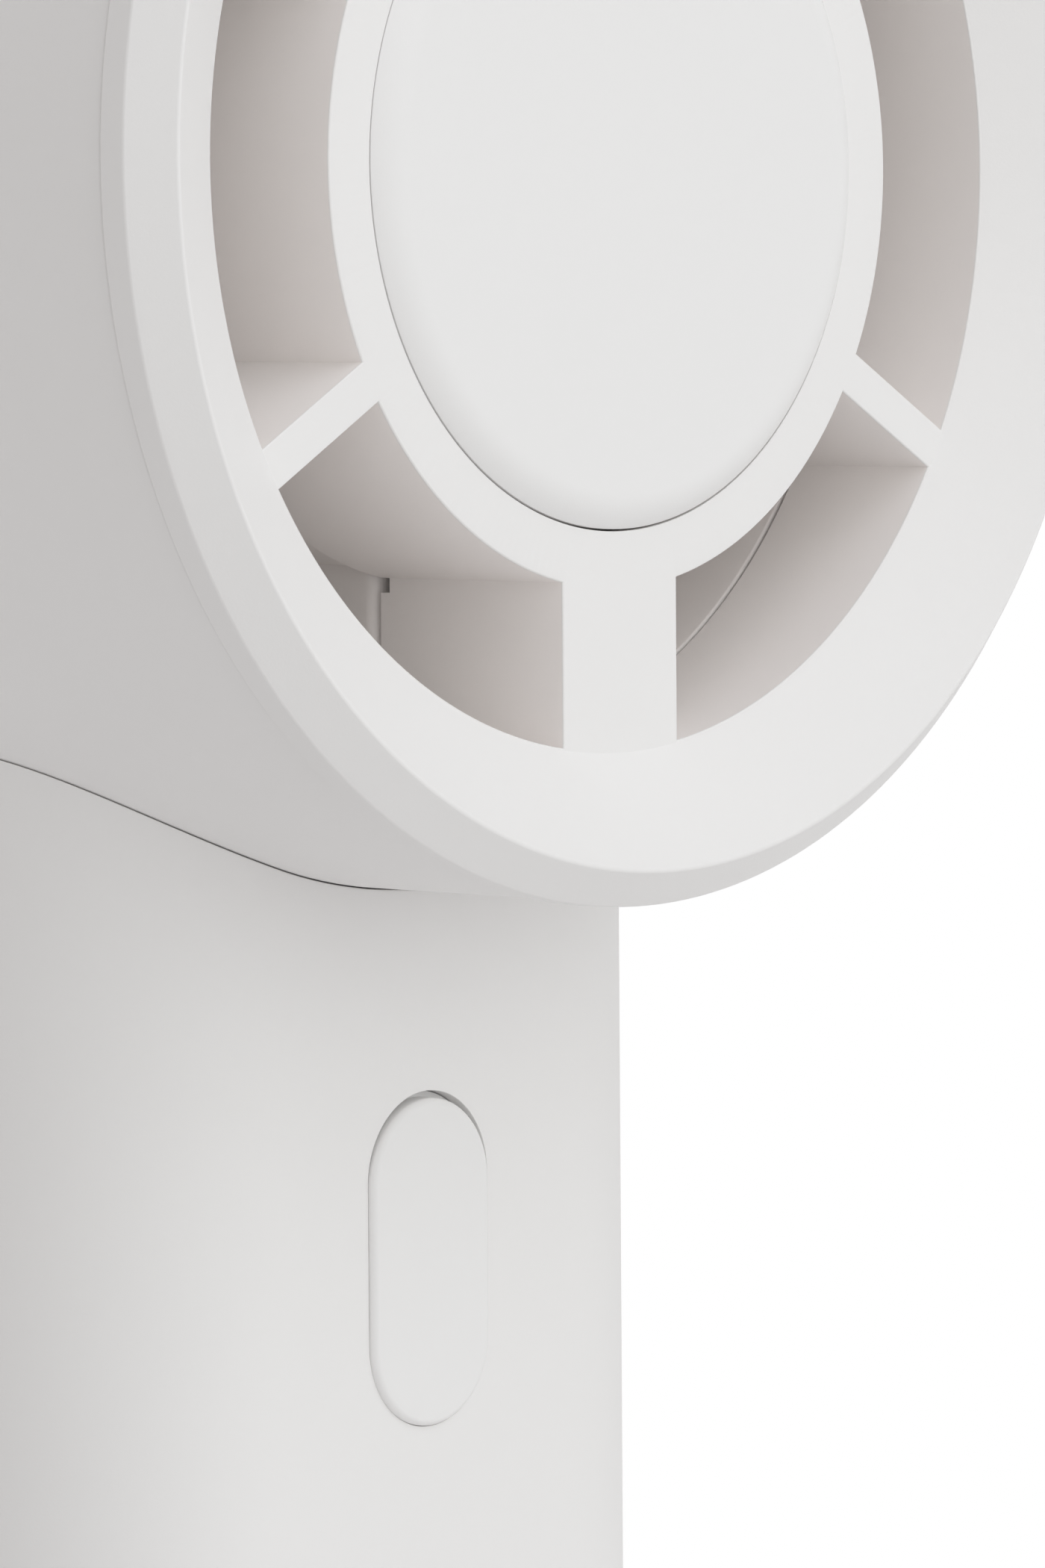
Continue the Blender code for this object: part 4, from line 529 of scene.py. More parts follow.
def tongue_plastic(name):
    """Black resin with a row of gold contacts across the tongue."""
    finish = Finish(name)
    contact_scale, row_end, resin, gold = 3.18 * MM, 2.9 * MM, (0.018, 0.018, 0.02, 1), (0.85, 0.6, 0.22, 1)
    across = finish.axes()[0]
    row = finish.node("TexWave", None, {"Vector": finish.places(), "Scale": 1 / contact_scale}, 1)
    contacts = (row > 0.42) * (abs(across) < row_end)
    fine = finish.noise(0.1 * MM)
    finish.set(Base_Color=finish.mix(contacts, resin, gold), Metallic=contacts,
               Roughness=0.5 - contacts * 0.22 + fine * 0.08)
    finish.bump(contacts * 0.6 + fine * 0.4, 0.01 * MM)
    return finish.material


def frosted(name, colour, clearness, roughness):
    """Clear resin with a frosted skin."""
    finish = Finish(name, Transmission_Weight=clearness, IOR=1.49)
    fine = finish.noise(0.12 * MM)
    finish.set(Base_Color=finish.mix(fine, shade(colour, 0.96), shade(colour, 1.0)),
               Roughness=roughness + fine * 0.08)
    finish.bump(fine, 0.004 * MM)
    return finish.material


WHITE = (0.885, 0.874, 0.864)
SATIN_WHITE = (0.884, 0.876, 0.868)
# A lighter, warmer white than the shell's, painted onto the surfaces in the duct as bounce light.
PAINTED_BOUNCE_WHITE = (0.985, 0.948, 0.926)
FINISHES = {
    "shell_white": moulded("shell_white", WHITE, SHELL_ROUGHNESS),
    "cap_white": moulded("cap_white", SATIN_WHITE, 0.46, 0.12 * MM, 0.003 * MM, 0.006),
    "button_white": moulded("button_white", SATIN_WHITE, 0.48, 0.12 * MM, 0.003 * MM, 0.006),
    # The duct and impeller white is painted bounce light: lighter and warmer than the shell.
    "duct_white": moulded("duct_white", PAINTED_BOUNCE_WHITE, 0.5, 0.14 * MM, 0.003 * MM, 0.008),
    "steel": metal("steel", (0.58, 0.58, 0.59), 0.33, (1, 1, 8)),
    "can_steel": metal("can_steel", (0.36, 0.36, 0.37), 0.4, (6, 1, 6)),
    "magnet_grey": dull("magnet_grey", (0.07, 0.07, 0.078), 0.55, 0.12 * MM, 0.01 * MM, 0.2),
    "core_steel": laminations("core_steel"),
    "copper": winding("copper"),
    "brass": metal("brass", (0.74, 0.56, 0.27), 0.3, (6, 1, 6)),
    "board_green": circuit_board("board_green"),
    "black_plastic": dull("black_plastic", (0.022, 0.022, 0.024), 0.5, 0.08 * MM, 0.004 * MM, 0.2),
    "frame_grey": dull("frame_grey", (0.25, 0.26, 0.27), 0.6, 0.16 * MM, 0.008 * MM),
    "cell_wrap": dull("cell_wrap", (0.05, 0.28, 0.34), 0.34, 0.4 * MM, 0.006 * MM, 0.05),
    "nickel": metal("nickel", (0.68, 0.65, 0.6), 0.28, (8, 1, 1)),
    "wire_red": dull("wire_red", (0.45, 0.03, 0.02), 0.42, 0.1 * MM, 0.003 * MM),
    "wire_black": dull("wire_black", (0.022, 0.022, 0.024), 0.42, 0.1 * MM, 0.003 * MM, 0.2),
    "foam": dull("foam", (0.04, 0.04, 0.045), 0.92, 0.25 * MM, 0.08 * MM, 0.3),
    "pad_grey": dull("pad_grey", (0.6, 0.59, 0.58), 0.78, 0.15 * MM, 0.012 * MM, 0.03),
    "clear_plastic": frosted("clear_plastic", (0.92, 0.93, 0.94), 0.85, 0.22),
    "led_white": dull("led_white", (0.85, 0.8, 0.6), 0.35, 0.1 * MM, 0.004 * MM, 0.04),
}
TONGUE = tongue_plastic("tongue_plastic")
GRILLE = grille_plastic("grille_plastic", WHITE, PAINTED_BOUNCE_WHITE)


# ---------------------------------------------------------------- the head


def window_outline(index, grow, depth):
    """The outline of the window after spoke number index, grown by an offset."""
    widths = [WIDE_SPOKE if i % SPOKES == 0 else THIN_SPOKE for i in (index, index + 1)]
    outer = WINDOW_RADIUS + grow
    inner = HUB_RADIUS - grow
    start, end = SPOKE_ANGLES[index], SPOKE_ANGLES[index] + TURN / SPOKES
    points = []
    for radius, steps, flip in ((outer, 40, False), (inner, 32, True)):
        first = start + math.asin((widths[0] / 2 - grow) / radius)
        last = end - math.asin((widths[1] / 2 - grow) / radius)
        arc = [head_point(radius, first + (last - first) * i / steps, depth) for i in range(steps + 1)]
        points += arc[::-1] if flip else arc
    return points


def make_front_grille():
    """Ring, dished face, duct wall, spokes and hub ring in one moulding, with a recess for the hub cap."""
    crest_depth, rim_front, rim_back = -4.1 * MM, -2 * MM, -0.3 * MM
    slope = crest_depth / (RING_CREST - WINDOW_RADIUS)
    dish_wall = 2.12 * MM
    recess, ledge, hub_inner = 20.59 * MM, 18.99 * MM, 21.84 * MM
    cap_seat, floor_front, floor_back = 2.3 * MM, 4 * MM, 5.6 * MM
    skirt_end = 4 * MM
    joint, joint_radius = 10 * MM, 32.7 * MM
    dish_start = WINDOW_RADIUS + EDGE - 0.01 * MM
    disc = turned("front_grille_fine", [
        (ledge / 2, floor_front),
        (ledge, floor_front),
        (ledge, cap_seat),
        (recess, cap_seat),
        (recess, 0, FINE_EDGE),
        (dish_start, 0),
        (RING_CREST, crest_depth, 0.25 * MM),
        (RING_RIM, rim_front, 0.3 * MM),
        (RING_RIM, rim_back, EDGE),
        (SKIRT_RADIUS, rim_back),
        (SKIRT_RADIUS, skirt_end, SOFT_EDGE),
        (SKIRT_INNER, skirt_end, SOFT_EDGE),
        (SKIRT_INNER, slope * (SKIRT_INNER - WINDOW_RADIUS) + dish_wall),
        (DUCT_RADIUS, slope * (DUCT_RADIUS - WINDOW_RADIUS) + dish_wall),
        (DUCT_RADIUS, joint, EDGE),
        (joint_radius, joint),
        (joint_radius, SPOKE_BACK, EDGE),
        (hub_inner, SPOKE_BACK, SOFT_EDGE),
        (hub_inner, floor_back),
        (ledge / 2, floor_back),
    ], solid=True)
    windows = [flare(lambda grow, depth, i=i: window_outline(i, grow, depth), 0, SPOKE_BACK + OVERRUN, -1, EDGE)
               for i in range(SPOKES)]
    holes = [rod("hole", SCREW_HOLE, 0, 7 * MM, head_place(GRILLE_SCREW_CIRCLE, angle))
             for angle in GRILLE_SCREW_ANGLES]
    notch_top = HEAD_AXIS - math.sqrt(HUB_RADIUS ** 2 - (WIDE_SPOKE / 2) ** 2)
    notch_bottom = notch_top - 0.85 * MM
    notches = [
        box("notch",
            (side * WIDE_SPOKE / 2 - OVERRUN, WINDOW_PLANE + 13.2 * MM, notch_bottom),
            (side * WIDE_SPOKE / 2 + OVERRUN, WINDOW_PLANE + 15 * MM, notch_top))
        for side in (-1, 1)
    ]
    cut(disc, gather("windows", windows), gather("holes", holes), gather("notches", notches))
    dress(disc, "root", ["front_grille"], GRILLE)


def make_hub_cap():
    """Its face stands proud, its rim is level with the hub ring, and it sits a touch high in the ring."""
    radius, back, curve, slope = 20.52 * MM, 2.2 * MM, 2.6 * MM, math.radians(50.4)
    rise = 0.05 * MM
    steps = 12
    inner, depth = radius - curve * math.sin(slope), curve * math.cos(slope)
    edge = [(inner + curve * math.sin(slope * i / steps), depth - curve * math.cos(slope * i / steps))
            for i in range(steps)]
    outline = [(radius / 2, depth - curve), *edge, (radius, 0, FINE_EDGE), (radius, back, EDGE), (radius / 2, back)]
    cap = turned("hub_cap_fine", outline, solid=True)
    cap.data.transform(Matrix.Translation((0, 0, rise)))
    dress(cap, "root", ["hub_cap"], FINISHES["cap_white"])


def arm(angle, width, front, back, corner, start, end):
    """A radial bar of the motor mount whose section has rounded front edges."""
    half = width / 2
    section = rounded([
        (-half, front, corner),
        (half, front, corner),
        (half, back, SOFT_EDGE),
        (-half, back, SOFT_EDGE),
    ], steps=8)
    out = Vector((math.cos(angle), 0, math.sin(angle)))
    across = Vector((-math.sin(angle), 0, math.cos(angle)))
    middle = Vector(head_point(0, 0, 0))
    loops = [[middle + out * radius + across * a + Vector((0, depth, 0)) for a, depth in section]
             for radius in (start, end)]
    return loft("arm", loops)


def make_fan_duct():
    """The duct behind the grille, with the motor mount on six arms; the wide arm carries the cable in a channel."""
    front, flange_front, flange_back, back = 10.3 * MM, 36.45 * MM, 37.95 * MM, 42.45 * MM
    mouth_edge = 0.4 * MM
    duct = turned("fan_duct_fine", [
        (DUCT_RADIUS, front, SOFT_EDGE),
        (DUCT_RADIUS, flange_front),
        (SKIRT_RADIUS, flange_front, SOFT_EDGE),
        (SKIRT_RADIUS, flange_back, SOFT_EDGE),
        (DUCT_RADIUS, flange_back),
        (DUCT_RADIUS, back, mouth_edge),
        (WINDOW_RADIUS, back, mouth_edge),
        (WINDOW_RADIUS, front, SOFT_EDGE),
    ])
    mount_radius, mount_inner, mount_bore = 23.2 * MM, 21.4 * MM, 4.2 * MM
    mount_front, mount_floor, mount_back, mount_edge = 14.2 * MM, 16.2 * MM, 19.2 * MM, 0.3 * MM
    mount = turned("mount", [
        (mount_radius, mount_front, SOFT_EDGE),
        (mount_radius, mount_back, mount_edge),
        (mount_inner, mount_back, mount_edge),
        (mount_inner, mount_floor),
        (mount_bore, mount_floor),
        (mount_bore, mount_front),
    ])
    arm_start, arm_end, arm_front = 22 * MM, 34.2 * MM, mount_front + 0.03 * MM
    thin_back, thin_corner = 18.9 * MM, 0.4 * MM
    wide_arm, wide_back, wide_corner = 10 * MM, 19.17 * MM, 0.8 * MM
    arms = [arm(angle, THIN_SPOKE, arm_front, thin_back, thin_corner, arm_start, arm_end)
            for angle in SPOKE_ANGLES[1:]]
    arms.append(arm(DOWN, wide_arm, arm_front, wide_back, wide_corner, arm_start, arm_end))
    bosses = [rod("boss", 2.4 * MM, 5.9 * MM, 16.1 * MM, head_place(GRILLE_SCREW_CIRCLE, angle))
              for angle in GRILLE_SCREW_ANGLES]
    pilots = [rod("pilot", SCREW_HOLE, 0, 12.3 * MM, head_place(GRILLE_SCREW_CIRCLE, angle))
              for angle in GRILLE_SCREW_ANGLES]
    holes = [rod("hole", SCREW_HOLE, 35 * MM, 39 * MM, head_place(DUCT_SCREW_CIRCLE, angle))
             for angle in DUCT_SCREW_ANGLES]
    channel = box("channel", (-1.8 * MM, WINDOW_PLANE + 15.6 * MM, HEAD_AXIS - DUCT_RADIUS - OVERRUN),
                  (1.8 * MM, WINDOW_PLANE + 18.2 * MM, HEAD_AXIS - 18.8 * MM))
    union(duct, mount, gather("arms", arms), gather("bosses", bosses))
    cut(duct, channel, gather("pilots", pilots + holes))
    # The duct gets the lighter, warmer white of painted bounce light.
    dress(duct, "root", ["fan_duct"], FINISHES["duct_white"])


def wall_section(wall, edge):
    """(inset, end, back-off) rows round a wall's section: end 0 is the bottom and 1 the top."""
    rows = []
    for end, turns in ((0, range(ARC_STEPS, -1, -1)), (1, range(ARC_STEPS + 1))):
        for k in turns:
            angle = QUARTER * k / ARC_STEPS
            rows.append((edge * (1 - math.cos(angle)), end, edge * (1 - math.sin(angle))))
    inner = [(wall - inset, end, off) for inset, end, off in reversed(rows)]
    return rows + inner


def oval_tube(name, width, depth, wall, bottom, saddle, edge):
    """An oval tube whose top follows a cylinder of radius saddle about the head's axis."""
    loops = []
    for inset, end, off in wall_section(wall, edge):
        loop = []
        for x, y in stadium(width - 2 * inset, depth - 2 * inset):
            top = HEAD_AXIS - math.sqrt(saddle ** 2 - x ** 2)
            loop.append((x, y, top - off if end else bottom + off))
        loops.append(loop)
    return loft(name, loops, closed=True)


def make_head_shell():
    """The barrel, with the oval neck that plugs into the handle."""
    barrel = turned("head_shell_fine", [
        (BARREL_RADIUS, BARREL_START, SOFT_EDGE),
        (BARREL_RADIUS, BARREL_END, SOFT_EDGE),
        (BARREL_INNER, BARREL_END),
        (BARREL_INNER, BARREL_START),
    ])
    wall_middle = 40.45 * MM
    neck_bottom, pad_top = 108.5 * MM, 123.43 * MM
    neck = oval_tube("neck", PLUG_WIDTH, PLUG_DEPTH, PLUG_WALL, neck_bottom, wall_middle, SOFT_EDGE)
    pad_foot = HEAD_AXIS - math.sqrt(wall_middle ** 2 - NECK_SCREW_OFFSET ** 2)
    pads, holes = [], []
    for side in (-1, 1):
        place = Matrix.Translation((side * NECK_SCREW_OFFSET, NECK_SCREW_BACKSET, 0))
        pads.append(rod("pad", 2.9 * MM, pad_foot, pad_top, place))
        holes.append(rod("hole", SCREW_HOLE, 110 * MM, 125 * MM, place))
    bosses = [rod("boss", 2.2 * MM, 29.65 * MM, 36.15 * MM, head_place(DUCT_SCREW_CIRCLE, angle))
              for angle in DUCT_SCREW_ANGLES]
    pilots = [rod("pilot", SCREW_HOLE, 31.65 * MM, 38 * MM, head_place(DUCT_SCREW_CIRCLE, angle))
              for angle in DUCT_SCREW_ANGLES]
    cable_hole = box("cable_hole", (-2.5 * MM, -9.7 * MM, HEAD_AXIS - BARREL_RADIUS - OVERRUN),
                     (2.5 * MM, -4.7 * MM, HEAD_AXIS - DUCT_RADIUS))
    union(barrel, neck, gather("pads", pads + bosses))
    cut(barrel, cable_hole, gather("holes", holes + pilots))
    dress(barrel, "root", ["head_shell"], FINISHES["shell_white"])


def slot_outline(inner, outer, middle, grow, depth):
    """A slot of the rear grid whose ends are parallel to the ribs beside it."""
    half = TURN / GRID_RIBS / 2
    rib = GRID_RIB_WIDTH / 2 - grow
    points = []
    for radius, flip in ((outer + grow, False), (inner - grow, True)):
        reach = half - math.asin(rib / radius)
        arc = [head_point(radius, middle + reach * (i / 6 - 1), depth) for i in range(13)]
        points += arc[::-1] if flip else arc
    return points


def make_rear_cover():
    """The rear ring with the air intake: rings and ribs round a plain disc."""
    face, grid_front, dish_wall_end = 45.5 * MM, 44.1 * MM, 45.91 * MM
    skirt_front, rim_front, rim_back, crest_depth = 40.5 * MM, 44.3 * MM, 46.1 * MM, 48.2 * MM
    core, disc_radius, pitch, slot_edge = 4 * MM, 9.5 * MM, 4.94 * MM, 0.25 * MM
    cover = turned("rear_cover_fine", [
        (core, grid_front),
        (WINDOW_RADIUS, grid_front),
        (SKIRT_INNER, dish_wall_end),
        (SKIRT_INNER, skirt_front, SOFT_EDGE),
        (SKIRT_RADIUS, skirt_front, SOFT_EDGE),
        (SKIRT_RADIUS, rim_front),
        (RING_RIM, rim_front, SOFT_EDGE),
        (RING_RIM, rim_back, 0.3 * MM),
        (RING_CREST, crest_depth, 0.3 * MM),
        (WINDOW_RADIUS, face, 0.5 * MM),
        (core, face),
    ], solid=True)
    slots = []
    for ring in range(GRID_RINGS):
        inner = disc_radius + ring * pitch
        outer = inner + pitch - GRID_RING_WIDTH
        for k in range(GRID_RIBS):
            middle = TURN * (k + 0.5) / GRID_RIBS
            loops = [slot_outline(inner, outer, middle, slot_edge, face + OVERRUN)]
            loops += [slot_outline(inner, outer, middle, inset, face - drop)
                      for inset, drop in quarter_turn(slot_edge, 4)]
            loops.append(slot_outline(inner, outer, middle, 0, grid_front - OVERRUN))
            slots.append(loft("slot", loops))
    cut(cover, gather("slots", slots))
    dress(cover, "root", ["rear_cover"], FINISHES["shell_white"])


def blade(turn):
    """A twisted blade with a rounded leading and trailing edge."""
    root, tip = 21.9 * MM, 32.4 * MM
    front, back = 22 * MM, 37.4 * MM
    thickness, sweep, curl = 1.2 * MM, math.radians(36), 1.3
    chord_steps, span_steps = 22, 8

    def middle(radius, along):
        angle = turn + sweep * max(along, 0) ** curl
        return Vector(head_point(radius, angle, front + (back - front) * along))

    loops = []
    for s in range(span_steps + 1):
        radius = root + (tip - root) * s / span_steps
        upper, lower = [], []
        for c in range(chord_steps + 1):
            along = (1 - math.cos(2 * QUARTER * c / chord_steps)) / 2
            here = middle(radius, along)
            chordwise = middle(radius, min(along + 0.02, 1)) - middle(radius, max(along - 0.02, 0))
            spanwise = middle(radius + MM, along) - here
            normal = chordwise.cross(spanwise).normalized()
            half = thickness / 2 * math.sqrt(max(1 - abs(2 * along - 1) ** 5, 0))
            upper.append(here + normal * half)
            lower.append(here - normal * half)
        loops.append(upper + lower[-2:0:-1])
    return loft("blade", loops)


def make_impeller():
    """A cup that opens forward over the rotor can, with the blades round it."""
    hub_radius, inner = 22.5 * MM, 20.7 * MM
    mouth, floor, end, crown = 20 * MM, 36.1 * MM, 38.4 * MM, 2.2 * MM
    bore, shaft_end = 1.6 * MM, 37.35 * MM
    blades = 9
    hub = turned("impeller_fine", [
        (bore / 2, shaft_end),
        (bore, shaft_end),
        (bore, floor),
        (inner, floor, 0.4 * MM),
        (inner, mouth, SOFT_EDGE),
        (hub_radius, mouth, 0.5 * MM),
        (hub_radius, end, crown),
        (bore / 2, end),
    ], solid=True)
    union(hub, gather("blades", [blade(TURN * i / blades) for i in range(blades)]))
    # The impeller gets the lighter, warmer white of painted bounce light.
    dress(hub, "rotor", ["impeller"], FINISHES["duct_white"])


# ---------------------------------------------------------------- the handle


def make_handle_shell():
    """The oval sleeve, open for the button in front and for the port and the four lights behind."""
    saddle_gap = 0.07 * MM
    handle = oval_tube("handle_shell_fine", HANDLE_WIDTH, HANDLE_DEPTH, HANDLE_WALL, HANDLE_BOTTOM,
                       BARREL_RADIUS + saddle_gap, EDGE)
    front, back = -HANDLE_DEPTH / 2, HANDLE_DEPTH / 2
    deep = HANDLE_WALL + OVERRUN
    button_width, button_height = 10.25 * MM, 19.6 * MM
    port_width, port_depth = 9.24 * MM, 3.56 * MM
    light_radius = 0.95 * MM

    def button_opening(grow, y):
        outline = upright_stadium(button_width + 2 * grow, button_height + 2 * grow)
        return facing(outline, y, BUTTON_HEIGHT, BUTTON_SHIFT)

    def port_opening(grow, y):
        return facing(stadium(port_width + 2 * grow, port_depth + 2 * grow, PORT_STEPS, 1), y, PORT_HEIGHT)

    cutters = [flare(button_opening, front, front + deep, -1, FINE_EDGE),
               flare(port_opening, back, back - deep, 1, SOFT_EDGE)]
    for x in LIGHT_PLACES:
        cutters.append(flare(lambda grow, y, x=x: facing(circle(light_radius + grow), y, LIGHT_HEIGHT, x),
                             back, back - deep, 1, SOFT_EDGE))
    cut(handle, gather("openings", cutters))
    dress(handle, "root", ["handle_shell"], FINISHES["shell_white"])


def make_power_button():
    """Its base fills the opening. Its face stands proud of the handle and hangs a little low."""
    width, height, edge, drop = 9.99 * MM, 19.15 * MM, 0.4 * MM, 0.175 * MM
    face, step, wall = -14.1 * MM, -12.75 * MM, -11.55 * MM
    middle = BUTTON_HEIGHT - drop
    loops = [facing(upright_stadium(width - 2 * inset, height - 2 * inset), face + lower, middle)
             for inset, lower in quarter_turn(edge, 10)]
    loops.append(facing(upright_stadium(width, height), step + SEAM, middle))
    button = loft("power_button_fine", loops)

    def layer(name, layer_width, layer_height, front, back):
        return loft(name, [facing(upright_stadium(layer_width, layer_height), y, BUTTON_HEIGHT, BUTTON_SHIFT)
                           for y in (front, back)])

    base = layer("base", 10.13 * MM, 19.46 * MM, step, wall + SEAM)
    flange = layer("flange", 12.05 * MM, 21.6 * MM, wall, wall + 0.8 * MM)
    stem_radius, stem_ends = 1.6 * MM, (-11 * MM, -10.05 * MM)
    stem = loft("stem", [facing(circle(stem_radius), y, BUTTON_HEIGHT) for y in stem_ends])
    union(button, base, flange, stem)
    dress(button, "button", ["power_button"], FINISHES["button_white"])


def make_port():
    """The port's drawn shell with a rolled lip, and the contact tongue on its foot."""
    mouth, back, wall, lip = 13.35 * MM, 6.05 * MM, 0.3 * MM, 0.1 * MM
    floor = back + 0.6 * MM

    def ring(inset, y):
        return facing(stadium(PORT_WIDTH - 2 * inset, PORT_DEPTH - 2 * inset, PORT_STEPS, 1), y, PORT_HEIGHT)

    shell = loft("usb_c_shell_fine", [
        ring(lip, back), ring(0, back + lip), ring(0, mouth - lip), ring(lip * 0.3, mouth - lip * 0.3),
        ring(lip, mouth), ring(wall - lip * 0.3, mouth - lip * 0.3), ring(wall, mouth - lip * 1.5),
        ring(wall, floor),
    ])
    dress(shell, "root", ["usb_c_shell"], FINISHES["steel"])
    inset = wall + 0.1 * MM
    foot = loft("usb_c_tongue_fine", [ring(inset, floor + 0.1 * MM), ring(inset, floor + 1.1 * MM)])
    half, thick, corner = 3.1 * MM, 0.35 * MM, 0.12 * MM
    corners = ((-half, -thick), (half, -thick), (half, thick), (-half, thick))
    section = rounded([(a, b, corner) for a, b in corners])
    slimmer = [(a * 0.97, b * 0.8) for a, b in section]
    blade_end = mouth - 0.6 * MM
    tongue = loft("tongue", [facing(section, floor + 0.8 * MM, PORT_HEIGHT),
                             facing(section, blade_end - 0.3 * MM, PORT_HEIGHT),
                             facing(slimmer, blade_end, PORT_HEIGHT)])
    union(foot, tongue)
    dress(foot, "root", ["usb_c_tongue"], TONGUE)


def make_light_pipe():
    """A clear bar behind the four lights, with a rounded dot in each of the handle's holes."""
    half, front, bar = 8 * MM, 3.75 * MM, 2 * MM
    top, bottom = LIGHT_HEIGHT + bar / 2, LIGHT_HEIGHT - bar / 2
    foot, reach_end, dot_end = 84.6 * MM, 11.55 * MM, 13.55 * MM
    dot_rows = ((0.8 * MM, front + bar / 2), (0.8 * MM, dot_end - 0.15 * MM), (0.74 * MM, dot_end - 0.04 * MM),
                (0.6 * MM, dot_end))
    pipe = box("light_pipe_fine", (-half, front, foot), (half, front + bar, top))
    reach = box("reach", (-half, front + bar / 2, bottom), (half, reach_end, top))
    dots = [loft("dot", [facing(circle(radius), y, LIGHT_HEIGHT, x) for radius, y in dot_rows])
            for x in LIGHT_PLACES]
    union(pipe, reach, gather("dots", dots))
    dress(pipe, "root", ["light_pipe"], FINISHES["clear_plastic"])


def flat_stadium(width, depth, z):
    """An oval outline that lies flat at a height."""
    return [(x, y, z) for x, y in stadium(width, depth)]


def stacked(name, width, depth, rows, closed=False):
    """An upright oval body from (inset, height) rows."""
    loops = [flat_stadium(width - 2 * inset, depth - 2 * inset, z) for inset, z in rows]
    return loft(name, loops, closed)


def make_base():
    """The base cap with its plug, screw bosses and a recess, and the thin pad in the recess."""
    bottom, top, edge = 0.4 * MM, 3 * MM, 1.2 * MM
    rows = [(inset, bottom + drop) for inset, drop in quarter_turn(edge, 8)]
    rows += [(0, top - EDGE), (0.3 * EDGE, top - 0.3 * EDGE), (EDGE, top)]
    plate = stacked("base_cap_fine", HANDLE_WIDTH, HANDLE_DEPTH, rows)
    plug_foot, plug_edge, plug_top = 2.9 * MM, 6 * MM, 6.2 * MM
    plug_rows = ((0, plug_foot), (0, plug_edge), (SOFT_EDGE, plug_top), (PLUG_WALL, plug_top), (PLUG_WALL, plug_foot))
    plug = stacked("plug", PLUG_WIDTH, PLUG_DEPTH, plug_rows, closed=True)
    pad_width, pad_depth, recess_top = 47.1 * MM, 22.9 * MM, 1.35 * MM
    recess = stacked("recess", pad_width, pad_depth, ((-SEAM, -OVERRUN), (-SEAM, recess_top)))
    screw_offset = 11.5 * MM
    bosses, counterbores, holes = [], [], []
    for side in (-1, 1):
        place = Matrix.Translation((side * screw_offset, 0, 0))
        bosses.append(rod("boss", 3 * MM, 2.7 * MM, 4.5 * MM, place))
        counterbores.append(rod("counterbore", 1.9 * MM, 0, 2.9 * MM, place))
        holes.append(rod("hole", SCREW_HOLE, 0, 5.5 * MM, place))
    union(plate, plug, gather("bosses", bosses))
    cut(plate, recess, gather("counterbores", counterbores), gather("holes", holes))
    dress(plate, "root", ["base_cap"], FINISHES["shell_white"])
    soft, pad_top = 0.35 * MM, 1.2 * MM
    pad = stacked("base_pad_fine", pad_width, pad_depth,
                  [(soft, 0), (soft * 0.3, soft * 0.3), (0, soft), (0, pad_top)])
    dress(pad, "root", ["base_pad"], FINISHES["pad_grey"])


def make_foam(name):
    """A thin foam strip, a little crowned, between the cells and the sleeve."""
    low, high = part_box(name)
    middle, half = (low + high) / 2, (high - low) / 2
    crown_drop, side_pull, end_pull = 0.3, 0.02, 0.01
    shape = bmesh.new()
    bmesh.ops.create_cube(shape, size=2)
    bmesh.ops.subdivide_edges(shape, edges=shape.edges, cuts=11, use_grid_fill=True)
    for vertex in shape.verts:
        x, y, z = vertex.co
        across = x * half.x * (1 - side_pull * abs(y))
        thick = y * half.y * (1 - crown_drop * max(abs(x), abs(z)) ** 10)
        along = z * half.z * (1 - end_pull * abs(y))
        vertex.co = middle + Vector((across, thick, along))
    pad = make_object(f"{name}_fine", shape)
    dress(pad, "root", [name], FINISHES["foam"])


def keep_cad(finish, *names):
    """CAD nodes that stay as they are get the full finish."""
    for name in names:
        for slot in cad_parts[name].material_slots:
            slot.material = FINISHES[finish]


def make_camera():
    """The camera of the reference view, in front on the left, a little above the head's middle."""
    data = bpy.data.cameras.new("camera")
    data.sensor_width = 36
    data.lens = 176.14
    camera = bpy.data.objects.new("camera", data)
    bpy.context.scene.collection.objects.link(camera)
    right = Vector((0.66373, -0.74794, -0.00705))
    up = Vector((0.05256, 0.03724, 0.99792))
    back = right.cross(up).normalized()
    up = back.cross(right).normalized()
    right.normalize()
    place = Matrix((right, up, back)).transposed().to_4x4()
    place.translation = (-0.32758, -0.31226, 0.15094)
    camera.matrix_world = place
    bpy.context.scene.camera = camera


def aim(lamp, place, target):
    """Puts a lamp somewhere and turns it to face a target."""
    lamp.location = place
    lamp.rotation_mode = "QUATERNION"
    lamp.rotation_quaternion = (target - place).to_track_quat("-Z", "Y")


LAMP_TARGET = 120 * MM


def softbox(name, azimuth, elevation, distance, size, power, colour):
    """A round soft light aimed at the fan; azimuth 0 is straight in front and grows to the right."""
    data = bpy.data.lights.new(name, "AREA")
    data.shape = "DISK"
    data.size = size
    data.energy = power
    data.color = colour
    lamp = bpy.data.objects.new(name, data)
    bpy.context.scene.collection.objects.link(lamp)
    target = Vector((0, 0, LAMP_TARGET))
    turn, rise = math.radians(azimuth), math.radians(elevation)
    away = Vector((math.sin(turn) * math.cos(rise), -math.cos(turn) * math.cos(rise), math.sin(rise)))
    aim(lamp, target + away * distance, target)


ROOM_LEVEL = 0.1
FRONT_LEVEL = 1.41
REAR_LEVEL = 0.85
SIDE_TINT = (1, 0.96, 0.95, 1)
FRONT_TINT = (0.975, 1, 0.995, 1)


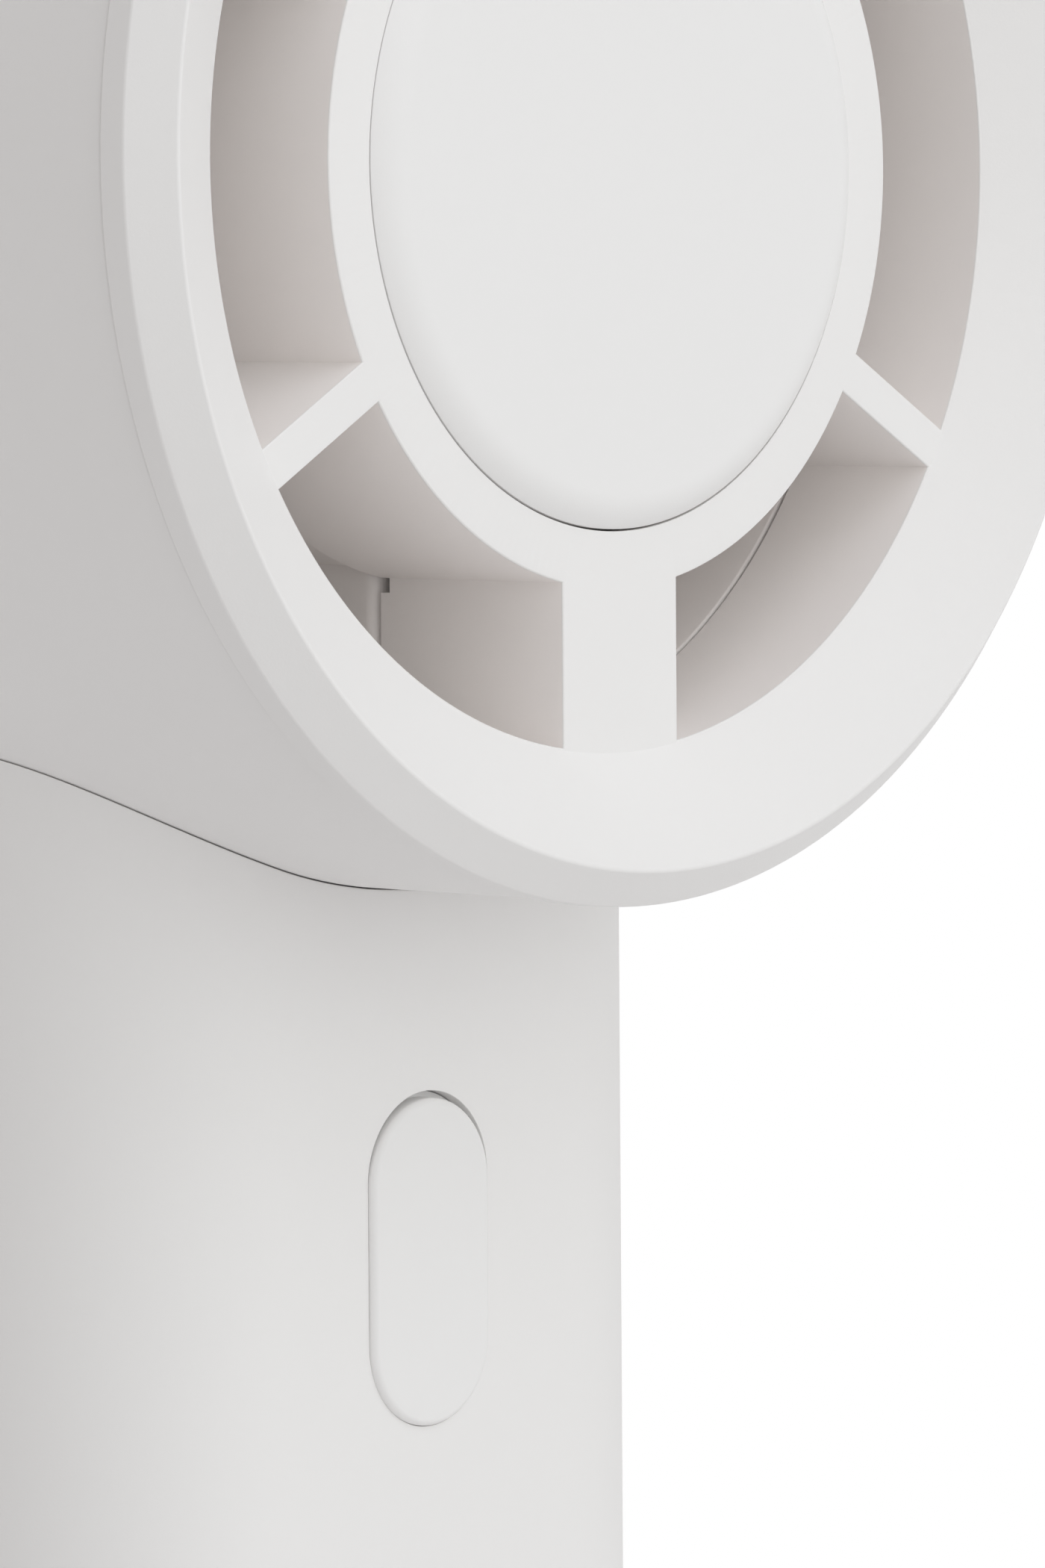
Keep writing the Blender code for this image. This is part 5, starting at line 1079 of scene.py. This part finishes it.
def make_studio():
    """A pale room, brightest in front, with a soft box above."""
    world = bpy.data.worlds.new("studio")
    bpy.context.scene.world = world
    world.use_nodes = True
    graph = Graph(world.node_tree)
    background = world.node_tree.nodes["Background"]
    to_rear = graph.node("SeparateXYZ", None, {0: graph.node("TexCoord")}, 1)
    front = graph.sum("MAXIMUM", 0 - to_rear, 0)
    rear = graph.sum("MAXIMUM", to_rear, 0)
    level = ROOM_LEVEL + front * FRONT_LEVEL + rear * REAR_LEVEL
    tint = graph.mix(front, SIDE_TINT, FRONT_TINT)
    graph.feed(background.inputs["Color"], graph.mix(graph.seen_directly(), tint, (1, 1, 1, 1)))
    graph.feed(background.inputs["Strength"], graph.node("Mix", None, {0: graph.seen_directly(), 2: level, 3: 1}))
    softbox("top_box", 0, 60, 1.4, 1.1, 2.4, (0.88, 0.91, 1))


def make_floor():
    """A pale floor that keeps the fan's shadow near it and is pure white further out."""
    drop = 0.02 * MM
    shape = bmesh.new()
    bmesh.ops.create_circle(shape, cap_ends=True, segments=96, radius=4)
    floor = make_object("floor", shape)
    floor.location = (0, 0, -drop)
    material = bpy.data.materials.new("floor")
    material.use_nodes = True
    graph = Graph(material.node_tree)
    graph.tree.nodes.clear()
    distance = graph.node("VectorMath", {"operation": "LENGTH"}, {0: graph.node("TexCoord", output=3)}, 1)
    reach = graph.node("MapRange", {"interpolation_type": "SMOOTHSTEP"}, {
        "Value": distance, "From Min": 0.05, "From Max": 0.32, "To Min": 0.35, "To Max": 1.0})
    surface = graph.node("BsdfDiffuse", None, {"Color": (0.95, 0.95, 0.95, 1)})
    glow = graph.node("Emission")
    blend = graph.node("MixShader", None, {0: reach * graph.seen_directly(), 1: surface, 2: glow})
    graph.node("OutputMaterial", None, {"Surface": blend})
    floor.data.materials.append(material)


bpy.context.scene.view_settings.view_transform = "Standard"
make_camera()
make_studio()
make_floor()
make_front_grille()
make_hub_cap()
make_fan_duct()
make_head_shell()
make_rear_cover()
make_impeller()
make_handle_shell()
make_power_button()
make_port()
make_light_pipe()
make_base()
make_foam("foam_pad_front")
make_foam("foam_pad_rear")
keep_cad("steel", "motor_shaft", "shaft_clip", "front_bearing", "rear_bearing", "switch_body",
         *[f"grille_screw_{i}" for i in (1, 2, 3)], *[f"duct_screw_{i}" for i in (1, 2, 3, 4)],
         "neck_screw_left", "neck_screw_right", "base_screw_left", "base_screw_right")
keep_cad("can_steel", "rotor_can")
keep_cad("magnet_grey", "magnet_ring", "power_inductor")
keep_cad("core_steel", "stator_core")
keep_cad("copper", "stator_winding")
keep_cad("brass", "bearing_tube")
keep_cad("board_green", "motor_board", "switch_board", "main_board")
keep_cad("black_plastic", "motor_driver_chip", "switch_plunger", "charge_chip", "controller_chip")
keep_cad("wire_black", "motor_cable", "negative_lead")
keep_cad("wire_red", "positive_lead")
keep_cad("clear_plastic", "motor_connector")
keep_cad("led_white", *[f"indicator_led_{i}" for i in (1, 2, 3, 4)])
keep_cad("frame_grey", "cell_frame")
keep_cad("cell_wrap", "battery_cell_left", "battery_cell_right")
keep_cad("nickel", "top_strip", "bottom_strip")
